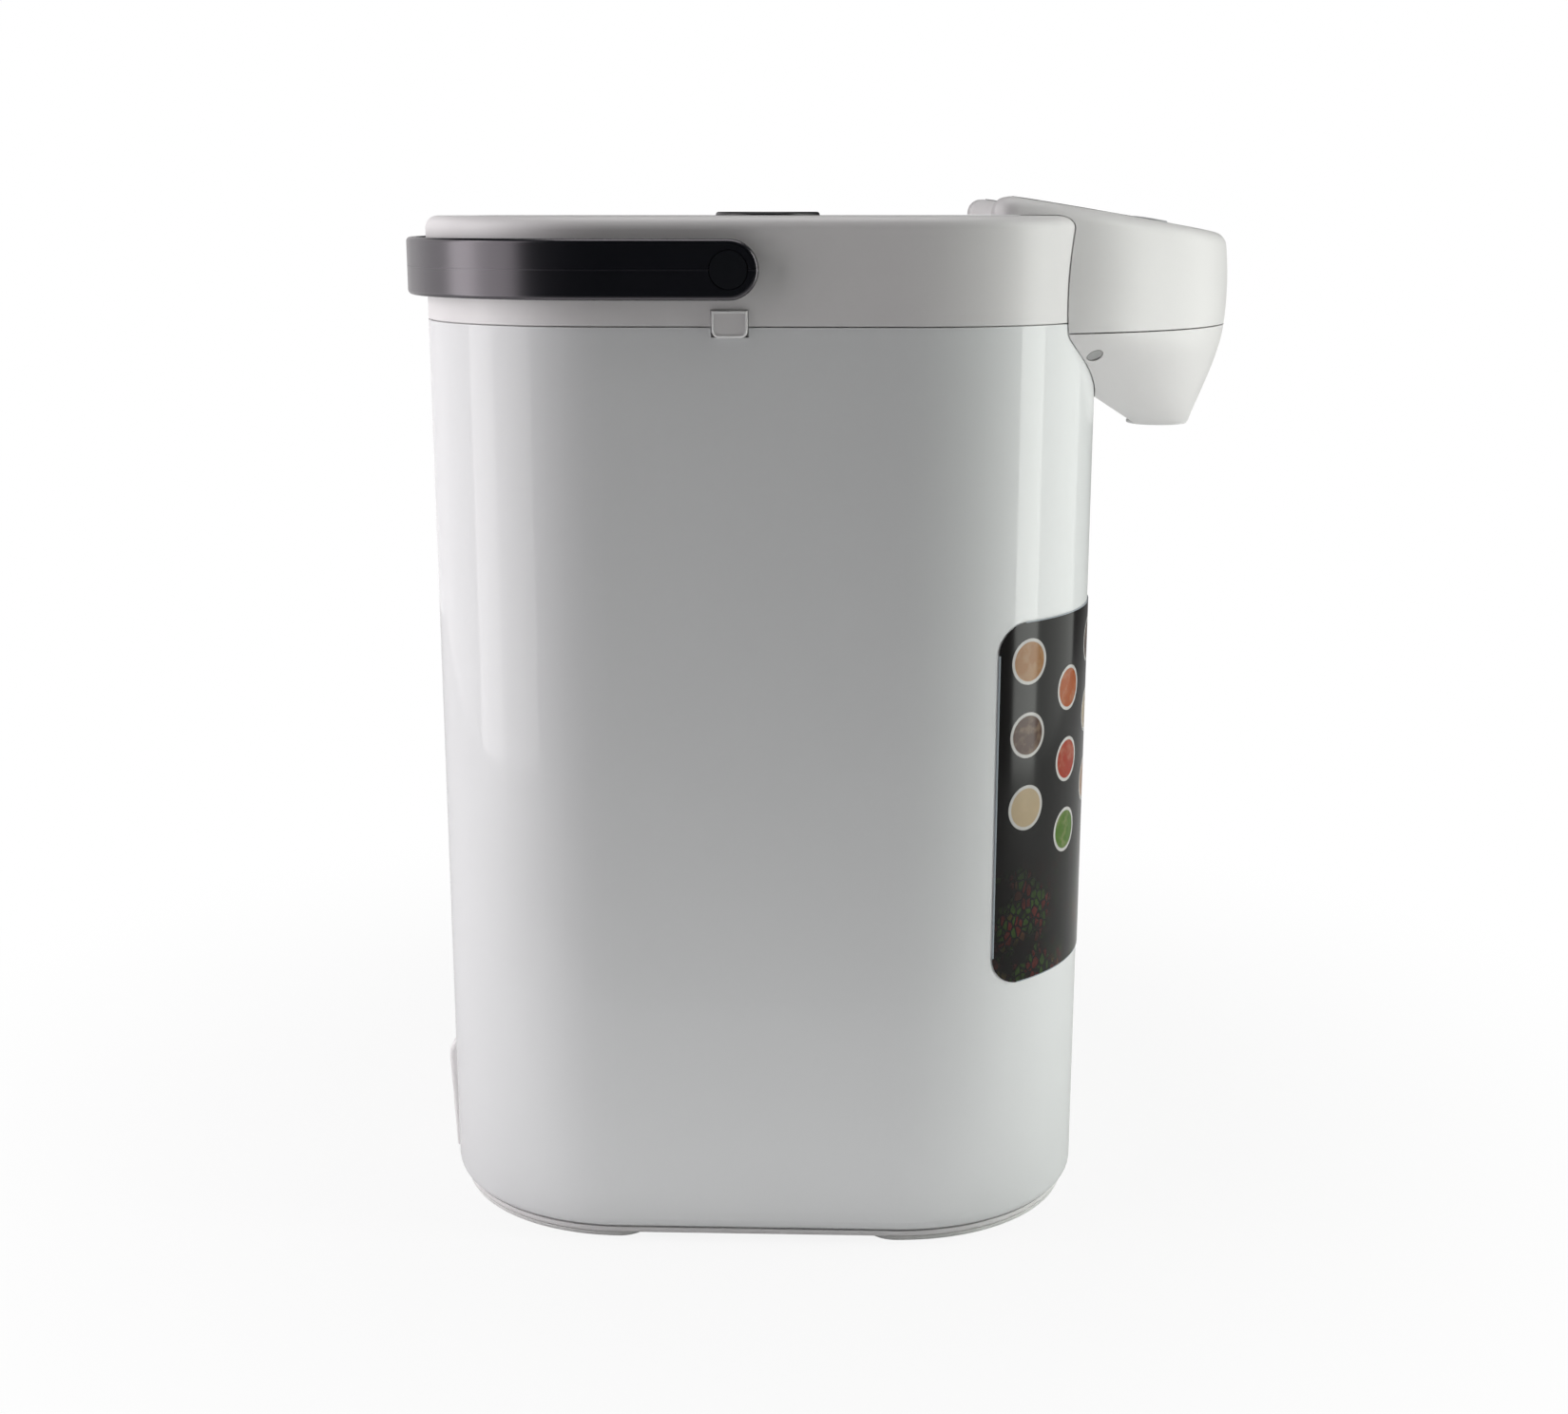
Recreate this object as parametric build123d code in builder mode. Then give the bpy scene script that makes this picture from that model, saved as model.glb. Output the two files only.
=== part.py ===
from build123d import *

import os
from math import cos, radians, sin

os.makedirs("parts", exist_ok=True)

# An electric thermo pot, in millimetres. +Z is up, the spout looks along -Y, and the origin is on
# the floor below the middle of the pot. Left is -X.

# ---- Driving dimensions ---------------------------------------------------------------------

# Body
body_width = 218.0  # across the flats, both ways
corner_radius = 63.0
foot_height = 1.7
base_thickness = 2.1
seam_line = 0.4  # shadow gap between two outer pieces
casing_height = 295.3
casing_wall = 1.0
casing_round = 4.0  # along the casing's lower edge
collar_height = 32.3
collar_wall = 2.5
rim_round = 4.0
fit_gap = 0.3  # between nested pieces
close_gap = 0.2  # between small pieces and what holds them
running_gap = 0.06  # between a shaft and its bore
cut_reach = 1.0  # how far a cut starts outside what it cuts

# Casing details
flange_width = 9.0
base_screw_shift = 30.0
base_screw_radius = 1.45
base_screw_head_radius = 2.8
base_screw_head_height = 1.0
base_screw_length = 7.0
window_width = 13.0
window_length = 176.0
window_bottom_z = 79.0
window_proud = 1.2
window_flange = 4.0
window_flange_thickness = 1.5

# Base
base_inset = 2.5
base_edge_round = 1.2
spigot_wall = 2.0
spigot_height = 8.0
foot_width = 20.0
foot_inset = 3.0
foot_round = 1.2
vent_count = 7
vent_length = 34.0
vent_width = 3.2
vent_pitch = 8.0

# Inner pot
pot_shoulder = 8.0  # the pot's wall is this far inside the mouth
pot_wall = 0.8
pot_bottom_z = 63.0
pot_bottom_round = 10.0
pot_flange_gap = 2.0
pot_flange_thickness = 1.0
jacket_thickness = 4.5
jacket_end_gap = 8.0

# Heating
heater_edge_gap = 2.1  # to the hose above the pump
heater_thickness = 3.6
heater_round = 1.2
heater_terminal_inset = 12.0
terminal_length = 8.0
terminal_width = 6.0
terminal_thickness = 0.8
thermostat_radius = 8.5
thermostat_height = 6.0
thermostat_spacing = 44.0

# Pump and water path
pump_setback = 43.0  # the pump's axis is this far behind the front face
nipple_wall = 1.0
nipple_length = 9.0
motor_radius = 14.0
motor_height = 22.0
motor_floor_gap = 3.0
motor_wall = 2.0
motor_round = 1.0
shaft_radius = 1.5
shaft_length = 22.0
chamber_radius = 18.0
chamber_height = 15.0
chamber_wall = 2.0
impeller_radius = 13.0
impeller_disc = 1.6
impeller_height = 6.0
impeller_floor_gap = 1.0
hub_radius = 3.6
blade_count = 6
blade_thickness = 1.4
blade_overlap = 0.5  # how far each blade runs into the hub
hose_wall = 1.8
hose_bend_margin = 0.8
riser_gap = 2.3  # between the gauge tube and the window behind which it stands
riser_radius = 4.0
riser_wall = 1.0
riser_bottom_z = 48.0
sleeve_length = 13.0
sleeve_wall = 1.0

# Collar and lid seat
rim_shoulder = 17.0  # between the mouth and the outer face
skirt_wall = 2.2
seat_width = 6.0
seat_thickness = 2.4
seat_drop = 0.1  # the seat stands this far above the collar's lower edge
spigot_depth = 9.0
clip_width = 10.8
clip_height = 8.0
clip_below_seam = 2.9
clip_proud = 0.8
clip_round = 2.0
pipe_hole_radius = 6.5

# Lid
lid_gap = 1.5
lid_wall = 2.2
lid_top = 2.5
lid_depth = 25.0
lid_plate_thickness = 2.5
lid_edge_round = 1.5
lid_lower_round = 0.8
plug_gap = 4.2  # between the plug and the pot's wall
plug_depth = 12.0
seal_fit = 0.5
seal_edge_gap = 3.0
seal_lip_width = 2.6
well_radius = 31.0
well_wall = 2.0
well_depth = 22.0
steam_slot_count = 5
steam_slot_length = 22.0
steam_slot_width = 2.6
steam_slot_pitch = 6.0
steam_slot_inset = 30.0

# Lid hinge
hinge_setback = 4.5
hinge_drop = 4.6
barrel_radius = 4.0
barrel_length = 46.0
hinge_pin_radius = 1.8
hinge_side_gap = 2.0
notch_wall = 3.0
notch_depth = 11.0
notch_front_gap = 4.0  # how far the hinge block reaches inside the mouth's wall

# Lid latch
latch_width = 34.0
latch_length = 24.0
latch_inset = 8.0
latch_thickness = 3.0
latch_drop = 5.2
latch_travel = 4.0
latch_grip_length = 6.0
tongue_width = 20.0
tongue_reach = 2.0
keeper_gap = 1.0

# Pump knob
knob_radius = 18.0
knob_proud = 1.2
knob_wall = 2.0
knob_gap = 0.4
knob_travel = 12.0
bellows_rest = 10.0  # height of the fully pressed bellows
knob_round = 1.0
guide_wall = 2.0
pusher_radius = 24.0
pusher_thickness = 2.2
bellows_outer_radius = 26.0
bellows_inner_radius = 20.0
bellows_wall = 1.2
bellows_folds = 4
spring_radius = 10.0
spring_wire_radius = 0.9
spring_turns = 5
valve_radius = 9.0
valve_thickness = 1.4
valve_stem_radius = 2.0

# Handle
handle_y = 7.0
handle_drop = 15.6  # pivot below the rim
handle_height = 18.0
handle_thickness = 4.4
handle_gap = 1.8
handle_round = 1.4
pivot_head_radius = 5.6
pivot_head_thickness = 1.6
pivot_shank_radius = 4.0
pivot_boss_radius = 8.0
pivot_boss_depth = 6.0

# Spout head
head_seam_drop = 2.8  # below the seam of the casing and the collar
head_reach = 48.3  # in front of the body
head_side_inset = 18.5
head_end_inset = 12.1
head_belly_rise = 12.3
head_belly_grow = 0.6
head_height = 46.3
head_top_shrink = 4.5
head_front_shrink = 5.0
head_wall = 2.4
head_slope = 8.75  # degrees, falling towards the spout
head_peak_setback = 32.0
head_peak_rise = 5.95  # above the rim
head_back_setback = 36.0
head_round = 5.0
horn_round = 6.0
horn_edge_length = 12.0  # the horns' upright edges are shorter than this
hump_gap = 4.0  # shoulder left open between the mouth and the head

# Spout housing: ovals from the head's seam down, with their shares of the head's width and length
nose_levels = [0.0, 11.7, 21.2, 28.5, 34.0]
nose_width_shares = [1.0, 0.785, 0.575, 0.387, 0.199]
nose_front_insets = [0.0, 2.5, 5.7, 8.3, 9.9]
nose_length_shares = [1.0, 0.681, 0.464, 0.299, 0.165]
nose_wall = 2.2
underside_drop = 22.3  # where the underside meets the casing, below the head's seam
underside_angle = 33.5
nozzle_reach = 27.6
nozzle_radius = 10.5
nozzle_neck_radius = 8.0
nozzle_bore = 5.5
nozzle_flange = 1.0
nozzle_height = 5.4
nozzle_socket = 7.0
nozzle_round = 0.4
nozzle_web = 1.0
pipe_bend = 9.0
pipe_rise = 10.1  # above the collar's lower edge
plug_face_radius = 2.5
plug_stem_depth = 1.6
screw_plug_share = 0.8214  # of the head's half width
screw_plug_setback = 3.0
screw_plug_drop = 7.35
screw_plug_normal = (0.584, -0.264, -0.768)

# Control panel
panel_margin = 13.0
panel_back_margin = 8.0
panel_corner = 5.0
panel_thickness = 1.2
panel_proud = 0.3
button_reach = 18.0
button_width = 22.0
button_length = 11.0
button_pitch = 30.0
button_gap = 0.3
button_proud = 0.8
button_depth = 5.2
button_lip = 1.2
lens_reach = 4.0
lens_radius = 2.0
lens_depth = 6.0
board_width = 88.0
board_length = 28.0
board_thickness = 1.6
switch_size = 6.0
switch_height = 2.6
switch_gap = 0.4  # between a pressed button and the body of its switch
switch_travel = 1.0

# Label
label_bottom_z = 88.0
label_height = 120.0
label_wrap = 32.6  # back from the front face
label_corner = 10.0
label_lift = 0.1
label_thickness = 0.25
label_window_margin = 3.0

# Power inlet at the back
inlet_half_width = 46.0
inlet_top_z = 45.8
inlet_peak_z = 38.0
inlet_peak_reach = 4.0
inlet_foot_reach = 2.3
inlet_face_reach = 0.6
inlet_side_round = 1.5
inlet_z = 24.0
socket_width = 25.0
socket_height = 18.0
socket_depth = 19.0
socket_wall = 3.2
socket_corner = 3.0
pin_width = 2.0
pin_height = 4.0
pin_reach = 13.0
pin_spacing = 14.0
pin_step = 4.0
power_board_width = 96.0
power_board_length = 70.0
power_board_y = 28.0
power_board_z = 17.0
transformer_size = (32.0, 35.0, 19.0)
transformer_x = 24.0
relay_size = (12.0, 14.0, 12.0)
relay_pitch = (19.0, 35.0)
relay_x = -24.0
post_radius = 3.5

# ---- Worked out from them -------------------------------------------------------------------

body_half = body_width / 2
corner_centre = body_half - corner_radius
base_top_z = foot_height + base_thickness
casing_bottom_z = base_top_z + seam_line
casing_top_z = casing_bottom_z + casing_height
collar_bottom_z = casing_top_z + seam_line
rim_z = collar_bottom_z + collar_height
seat_top_z = collar_bottom_z + seat_drop
pot_rim_z = seat_top_z + pot_flange_thickness
mouth_radius = body_half - rim_shoulder
skirt_radius = mouth_radius + skirt_wall
seat_radius = mouth_radius - seat_width
pot_radius = mouth_radius - pot_shoulder
pot_flange_radius = mouth_radius - pot_flange_gap
plug_radius = pot_radius - pot_wall - plug_gap
seal_inner_radius = plug_radius + seal_fit
seal_outer_radius = pot_flange_radius - seal_edge_gap
lid_radius = mouth_radius - lid_gap
lid_bottom_z = rim_z - lid_depth
hinge_y = mouth_radius + hinge_setback
hinge_z = rim_z - hinge_drop
handle_z = rim_z - handle_drop
steam_slot_y = mouth_radius - steam_slot_inset
latch_front_y = latch_inset - mouth_radius
label_back_y = label_wrap - body_half
hose_radius = riser_radius + running_gap + hose_wall
pump_y = pump_setback - body_half
heater_radius = -pump_y - hose_radius - heater_edge_gap
heater_terminal_x = heater_radius - heater_terminal_inset
window_back_y = casing_wall + fit_gap + window_flange_thickness - body_half
riser_y = window_back_y + riser_gap + riser_radius
pipe_z = collar_bottom_z + pipe_rise
head_clear_radius = mouth_radius + hump_gap
head_seam_z = casing_top_z - head_seam_drop
head_belly_z = head_seam_z + head_belly_rise
head_top_z = head_seam_z + head_height
head_half_width = body_half - head_side_inset
head_half_length = body_half - head_end_inset
head_front_y = -body_half - head_reach
head_centre_y = head_front_y + head_half_length
head_peak_y = head_peak_setback - body_half
head_peak_z = rim_z + head_peak_rise
head_back_y = head_back_setback - body_half
button_y = -body_half - button_reach
board_y = button_y
lens_y = -body_half - lens_reach
nose_half_widths = [head_half_width * share for share in nose_width_shares]
nose_half_lengths = [head_half_length * share for share in nose_length_shares]
underside_z = head_seam_z - underside_drop
nozzle_y = -body_half - nozzle_reach
screw_plug_place = (
    head_half_width * screw_plug_share,
    screw_plug_setback - body_half,
    head_seam_z - screw_plug_drop,
)
well_bottom_z = lid_bottom_z - well_depth
pusher_z = well_bottom_z + well_wall + knob_travel + bellows_rest
board_depth = button_depth + switch_gap + switch_height + switch_travel
knob_top_z = rim_z + knob_proud
latch_bottom_z = rim_z - latch_drop
nose_bottom_z = head_seam_z - seam_line - nose_levels[-1]
nozzle_bottom_z = nose_bottom_z - nozzle_flange
chamber_bottom_z = base_top_z + motor_floor_gap + motor_height
chamber_top_z = chamber_bottom_z + chamber_height
window_mid_z = window_bottom_z + window_length / 2


def body_section(inset=0.0, mode=Mode.ADD):
    """The rounded square of the body, drawn inset from its outer face."""
    side = body_width - 2 * inset
    return RectangleRounded(side, side, corner_radius - inset, mode=mode)


def level(z):
    """A horizontal plane at height z."""
    return Plane.XY.offset(z)


def front_plane(y):
    """An upright plane at y, seen from the spout side: its X is the pot's X and its Y is up."""
    return Plane.XZ.offset(-y)


def side_plane(x):
    """An upright plane at x: its X is the pot's Y and its Y is up."""
    return Plane.YZ.offset(x)


# ---- Outer casing ---------------------------------------------------------------------------

screw_reach = body_half - (casing_round + casing_wall + flange_width) / 2
screw_places = [(sx * screw_reach, sy * base_screw_shift) for sx in (-1, 1) for sy in (-1, 1)]

with BuildPart() as outer_casing:
    with BuildSketch(level(casing_bottom_z)):
        body_section()
    extrude(amount=casing_height)
    fillet(outer_casing.edges().group_by(Axis.Z)[0], casing_round)
    offset(amount=-casing_wall, openings=outer_casing.faces().sort_by(Axis.Z)[-1])
    # The rounded lower edge turns in to a flange that the base screws hold.
    with BuildSketch(level(casing_bottom_z)):
        body_section(casing_wall + flange_width)
        with Locations(screw_places):
            Circle(base_screw_radius + running_gap)
    extrude(amount=casing_wall, mode=Mode.SUBTRACT)
    # Slot for the water level window
    with BuildSketch(front_plane(-body_half - cut_reach)):
        with Locations((0, window_mid_z)):
            SlotOverall(window_length, window_width, rotation=90)
    extrude(amount=-(casing_wall + 2 * cut_reach), mode=Mode.SUBTRACT)
    # Opening for the power inlet
    with BuildSketch(front_plane(body_half + cut_reach)):
        with Locations((0, inlet_z)):
            Rectangle(
                socket_width + 2 * socket_wall + 2 * fit_gap, socket_height + 2 * socket_wall + 2 * fit_gap
            )
    extrude(amount=casing_wall + 2 * cut_reach, mode=Mode.SUBTRACT)
    # Notches for the two clips
    with BuildSketch(side_plane(-body_half - cut_reach)):
        with Locations((handle_y, casing_top_z)):
            Rectangle(clip_width + 2 * fit_gap, 2 * clip_below_seam)
    extrude(amount=body_width + 2 * cut_reach, mode=Mode.SUBTRACT)
outer_casing.part.label = "outer_casing"
export_step(outer_casing.part, "parts/outer_casing.step")

# ---- Base plate, its feet and screws --------------------------------------------------------

spigot_inset = casing_wall + flange_width + fit_gap
board_post_shifts = (power_board_width / 2 - post_radius, power_board_length / 2 - post_radius)

with BuildPart() as base_plate:
    with BuildSketch(level(foot_height)):
        body_section(base_inset)
    extrude(amount=base_thickness)
    fillet(base_plate.edges().group_by(Axis.Z)[0], base_edge_round)
    # Upstand that centres the plate inside the casing's flange
    with BuildSketch(level(base_top_z)):
        body_section(spigot_inset)
        body_section(spigot_inset + spigot_wall, mode=Mode.SUBTRACT)
    extrude(amount=spigot_height)
    # Cradle for the pump motor
    with BuildSketch(level(base_top_z)):
        with Locations((0, pump_y)):
            Circle(motor_radius + fit_gap + spigot_wall)
    extrude(amount=motor_floor_gap + spigot_height)
    with BuildSketch(level(base_top_z + motor_floor_gap)):
        with Locations((0, pump_y)):
            Circle(motor_radius + fit_gap)
    extrude(amount=spigot_height, mode=Mode.SUBTRACT)
    # Posts for the power board
    with BuildSketch(level(base_top_z)):
        with Locations((0, power_board_y)):
            with GridLocations(2 * board_post_shifts[0], 2 * board_post_shifts[1], 2, 2):
                Circle(post_radius)
    extrude(amount=power_board_z - base_top_z)
    # Air vents below the board
    with BuildSketch(level(foot_height)):
        with Locations((0, power_board_y)):
            with GridLocations(vent_pitch, vent_pitch, vent_count, 1):
                SlotOverall(vent_length, vent_width, rotation=90)
    extrude(amount=base_thickness, mode=Mode.SUBTRACT)
    # Screw holes with seats for the heads
    with BuildSketch(level(foot_height)):
        with Locations(screw_places):
            Circle(base_screw_radius + running_gap)
    extrude(amount=base_thickness, mode=Mode.SUBTRACT)
    with BuildSketch(level(foot_height)):
        with Locations(screw_places):
            Circle(base_screw_head_radius + fit_gap)
    extrude(amount=base_screw_head_height, mode=Mode.SUBTRACT)
base_plate.part.label = "base_plate"
export_step(base_plate.part, "parts/base_plate.step")

foot_track_radius = corner_radius - foot_inset - foot_width / 2
foot_corners = {
    "foot_rear_right": (1, 1, 0),
    "foot_rear_left": (-1, 1, 90),
    "foot_front_left": (-1, -1, 180),
    "foot_front_right": (1, -1, 270),
}
for foot_name, (side_x, side_y, start_angle) in foot_corners.items():
    foot_track = CenterArc(
        (side_x * corner_centre, side_y * corner_centre), foot_track_radius, start_angle, 90
    )
    with BuildPart() as foot:
        with BuildSketch(Plane.XY):
            SlotArc(foot_track, foot_width)
        extrude(amount=foot_height)
        fillet(foot.edges().group_by(Axis.Z)[0], foot_round)
    foot.part.label = foot_name
    export_step(foot.part, f"parts/{foot_name}.step")

with BuildPart() as base_screws:
    with BuildSketch(level(foot_height)):
        with Locations(screw_places):
            Circle(base_screw_head_radius)
    extrude(amount=base_screw_head_height)
    with BuildSketch(level(foot_height)):
        with Locations(screw_places):
            Circle(base_screw_radius)
    extrude(amount=base_screw_length)
base_screws.part.label = "base_screws"
export_step(base_screws.part, "parts/base_screws.step")

# ---- Collar ---------------------------------------------------------------------------------

collar_spigot_inset = casing_wall + fit_gap
notch_half = barrel_length / 2 + hinge_side_gap
notch_back_y = body_half - collar_wall
notch_floor_z = rim_z - notch_depth
block_front_y = mouth_radius - notch_front_gap
block_back_y = notch_back_y + cut_reach

with BuildPart() as collar:
    with BuildSketch(level(collar_bottom_z)):
        body_section()
    extrude(amount=collar_height)
    fillet(collar.edges().group_by(Axis.Z)[-1], rim_round)
    with BuildSketch(level(collar_bottom_z)):
        body_section(collar_wall)
    extrude(amount=collar_height - collar_wall, mode=Mode.SUBTRACT)
    # Lip that slips inside the casing
    with BuildSketch(level(collar_bottom_z - spigot_depth)):
        body_section(collar_spigot_inset)
        body_section(collar_spigot_inset + spigot_wall, mode=Mode.SUBTRACT)
    extrude(amount=spigot_depth + spigot_wall)
    # Mouth: a round skirt with a seat for the inner pot's flange
    with BuildSketch(level(collar_bottom_z)):
        Circle(skirt_radius)
    extrude(amount=collar_height)
    with BuildSketch(level(seat_top_z - seat_thickness)):
        Circle(skirt_radius)
    extrude(amount=seat_thickness)
    with BuildSketch(level(seat_top_z)):
        Circle(mouth_radius)
    extrude(amount=collar_height, mode=Mode.SUBTRACT)
    with BuildSketch(level(seat_top_z - seat_thickness)):
        Circle(seat_radius)
    extrude(amount=seat_thickness, mode=Mode.SUBTRACT)
    # Block behind the mouth that holds the lid's hinge
    with BuildSketch(level(notch_floor_z - notch_wall)):
        with Locations((0, (block_front_y + block_back_y) / 2)):
            Rectangle(2 * (notch_half + notch_wall), block_back_y - block_front_y)
    extrude(amount=notch_depth + notch_wall - collar_wall / 2)
    with BuildSketch(level(seat_top_z)):
        Circle(mouth_radius)
    extrude(amount=collar_height, mode=Mode.SUBTRACT)
    with BuildSketch(level(notch_floor_z)):
        with Locations((0, (mouth_radius / 2 + notch_back_y) / 2)):
            Rectangle(2 * notch_half, notch_back_y - mouth_radius / 2)
    extrude(amount=notch_depth, mode=Mode.SUBTRACT)
    with BuildSketch(side_plane(-notch_half - notch_wall)):
        with Locations((hinge_y, hinge_z)):
            Circle(hinge_pin_radius)
    extrude(amount=2 * (notch_half + notch_wall), mode=Mode.SUBTRACT)
    # Keeper recess for the lid's latch, open at the top
    with BuildSketch(level(latch_bottom_z - keeper_gap)):
        with Locations((0, -mouth_radius)):
            Rectangle(tongue_width + 2 * keeper_gap, 2 * (tongue_reach + keeper_gap))
    extrude(amount=collar_height, mode=Mode.SUBTRACT)
    # Hole that lets the outlet pipe through to the spout head
    with BuildSketch(front_plane(-body_half - cut_reach)):
        with Locations((0, pipe_z)):
            Circle(pipe_hole_radius)
    extrude(amount=-(collar_wall + 2 * cut_reach), mode=Mode.SUBTRACT)
    # Handle pivots: a boss behind each side wall
    for side in (-1, 1):
        with BuildSketch(side_plane(side * (body_half - collar_wall / 2))):
            with Locations((handle_y, handle_z)):
                Circle(pivot_boss_radius)
        extrude(amount=-side * (pivot_boss_depth + collar_wall / 2))
        with BuildSketch(side_plane(side * (body_half + cut_reach))):
            with Locations((handle_y, handle_z)):
                Circle(pivot_shank_radius + running_gap)
        extrude(amount=-side * (pivot_boss_depth + collar_wall + cut_reach), mode=Mode.SUBTRACT)
        # Shallow seat for the clip that crosses the seam
        with BuildSketch(side_plane(side * body_half)):
            with Locations((handle_y, casing_top_z - clip_below_seam + clip_height / 2)):
                Rectangle(clip_width + 2 * fit_gap, clip_height + 2 * fit_gap)
        extrude(amount=-side * clip_proud, mode=Mode.SUBTRACT)
collar.part.label = "collar"
export_step(collar.part, "parts/collar.step")

clip_sides = {"collar_clip_left": -1, "collar_clip_right": 1}
for clip_name, side in clip_sides.items():
    with BuildPart() as clip:
        with BuildSketch(side_plane(side * (body_half - clip_proud + close_gap))):
            with Locations((handle_y, casing_top_z - clip_below_seam + clip_height / 2)):
                Rectangle(clip_width, clip_height)
        extrude(amount=side * (2 * clip_proud - close_gap))
        lower_corners = clip.edges().filter_by(Axis.X).group_by(Axis.Z)[0]
        fillet(lower_corners, clip_round)
        fillet(clip.faces().sort_by(Axis.X)[-1 if side > 0 else 0].edges(), clip_proud / 2)
    clip.part.label = clip_name
    export_step(clip.part, f"parts/{clip_name}.step")

# ---- Inner pot and its insulation -----------------------------------------------------------

with BuildPart() as inner_pot:
    with BuildSketch(level(pot_bottom_z)):
        Circle(pot_radius)
    extrude(amount=pot_rim_z - pot_bottom_z)
    fillet(inner_pot.edges().group_by(Axis.Z)[0], pot_bottom_round)
    offset(amount=-pot_wall, openings=inner_pot.faces().sort_by(Axis.Z)[-1])
    with BuildSketch(level(seat_top_z)):
        Circle(pot_flange_radius)
        Circle(pot_radius - pot_wall, mode=Mode.SUBTRACT)
    extrude(amount=pot_flange_thickness)
    # Drain nipple above the pump
    with BuildSketch(level(pot_bottom_z - nipple_length)):
        with Locations((0, pump_y)):
            Circle(riser_radius)
    extrude(amount=nipple_length + pot_wall)
    with BuildSketch(level(pot_bottom_z - nipple_length)):
        with Locations((0, pump_y)):
            Circle(riser_radius - nipple_wall)
    extrude(amount=nipple_length + pot_wall, mode=Mode.SUBTRACT)
inner_pot.part.label = "inner_pot"
export_step(inner_pot.part, "parts/inner_pot.step")

jacket_bottom_z = pot_bottom_z + jacket_end_gap
jacket_top_z = seat_top_z - seat_thickness - jacket_end_gap
with BuildPart() as insulation_jacket:
    with BuildSketch(level(jacket_bottom_z)):
        Circle(pot_radius + fit_gap + jacket_thickness)
        Circle(pot_radius + fit_gap, mode=Mode.SUBTRACT)
    extrude(amount=jacket_top_z - jacket_bottom_z)
insulation_jacket.part.label = "insulation_jacket"
export_step(insulation_jacket.part, "parts/insulation_jacket.step")

# ---- Heater and thermostats -----------------------------------------------------------------

heater_bottom_z = pot_bottom_z - heater_thickness
with BuildPart() as heater_disc:
    with BuildSketch(level(heater_bottom_z)):
        Circle(heater_radius)
    extrude(amount=heater_thickness)
    fillet(heater_disc.edges().group_by(Axis.Z)[0], heater_round)
    with BuildSketch(level(heater_bottom_z - terminal_length)):
        with GridLocations(2 * heater_terminal_x, 0, 2, 1):
            Rectangle(terminal_width, terminal_thickness)
    extrude(amount=terminal_length + heater_thickness / 2)
heater_disc.part.label = "heater_disc"
export_step(heater_disc.part, "parts/heater_disc.step")

thermostats = {"thermostat_boil": -1, "thermostat_dry": 1}
for thermostat_name, side in thermostats.items():
    with BuildPart() as thermostat:
        with BuildSketch(level(heater_bottom_z - thermostat_height)):
            with Locations((side * thermostat_spacing / 2, 0)):
                Circle(thermostat_radius)
        extrude(amount=thermostat_height)
        with BuildSketch(level(heater_bottom_z - thermostat_height - terminal_length)):
            with Locations((side * thermostat_spacing / 2, 0)):
                with GridLocations(thermostat_radius, 0, 2, 1):
                    Rectangle(terminal_thickness, terminal_width)
        extrude(amount=terminal_length)
    thermostat.part.label = thermostat_name
    export_step(thermostat.part, f"parts/{thermostat_name}.step")

# ---- Pump -----------------------------------------------------------------------------------

motor_bottom_z = base_top_z + motor_floor_gap
with BuildPart() as pump_motor:
    with BuildSketch(level(motor_bottom_z)):
        with Locations((0, pump_y)):
            Circle(motor_radius)
    extrude(amount=motor_height)
    fillet(pump_motor.edges().group_by(Axis.Z)[0], motor_round)
    with BuildSketch(level(chamber_bottom_z)):
        with Locations((0, pump_y)):
            Circle(shaft_radius + running_gap)
    extrude(amount=-(motor_height - motor_wall), mode=Mode.SUBTRACT)
pump_motor.part.label = "pump_motor"
export_step(pump_motor.part, "parts/pump_motor.step")

hose_z = chamber_bottom_z + chamber_height / 2
with BuildPart() as pump_housing:
    with BuildSketch(level(chamber_bottom_z)):
        with Locations((0, pump_y)):
            Circle(chamber_radius)
    extrude(amount=chamber_height)
    # Inlet nipple on top and outlet port towards the front
    with BuildSketch(level(chamber_top_z)):
        with Locations((0, pump_y)):
            Circle(riser_radius)
    extrude(amount=nipple_length / 2)
    with BuildSketch(front_plane(pump_y)):
        with Locations((0, hose_z)):
            Circle(riser_radius)
    extrude(amount=chamber_radius + nipple_length / 2)
    # Chamber, bores and the hole for the shaft
    with BuildSketch(level(chamber_bottom_z + chamber_wall)):
        with Locations((0, pump_y)):
            Circle(chamber_radius - chamber_wall)
    extrude(amount=chamber_height - 2 * chamber_wall, mode=Mode.SUBTRACT)
    with BuildSketch(level(chamber_bottom_z)):
        with Locations((0, pump_y)):
            Circle(shaft_radius + running_gap)
    extrude(amount=chamber_wall, mode=Mode.SUBTRACT)
    with BuildSketch(level(chamber_top_z - chamber_wall)):
        with Locations((0, pump_y)):
            Circle(riser_radius - nipple_wall)
    extrude(amount=chamber_wall + nipple_length, mode=Mode.SUBTRACT)
    with BuildSketch(front_plane(pump_y - chamber_radius + chamber_wall * 2)):
        with Locations((0, hose_z)):
            Circle(riser_radius - nipple_wall)
    extrude(amount=chamber_radius, mode=Mode.SUBTRACT)
pump_housing.part.label = "pump_housing"
export_step(pump_housing.part, "parts/pump_housing.step")

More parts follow.
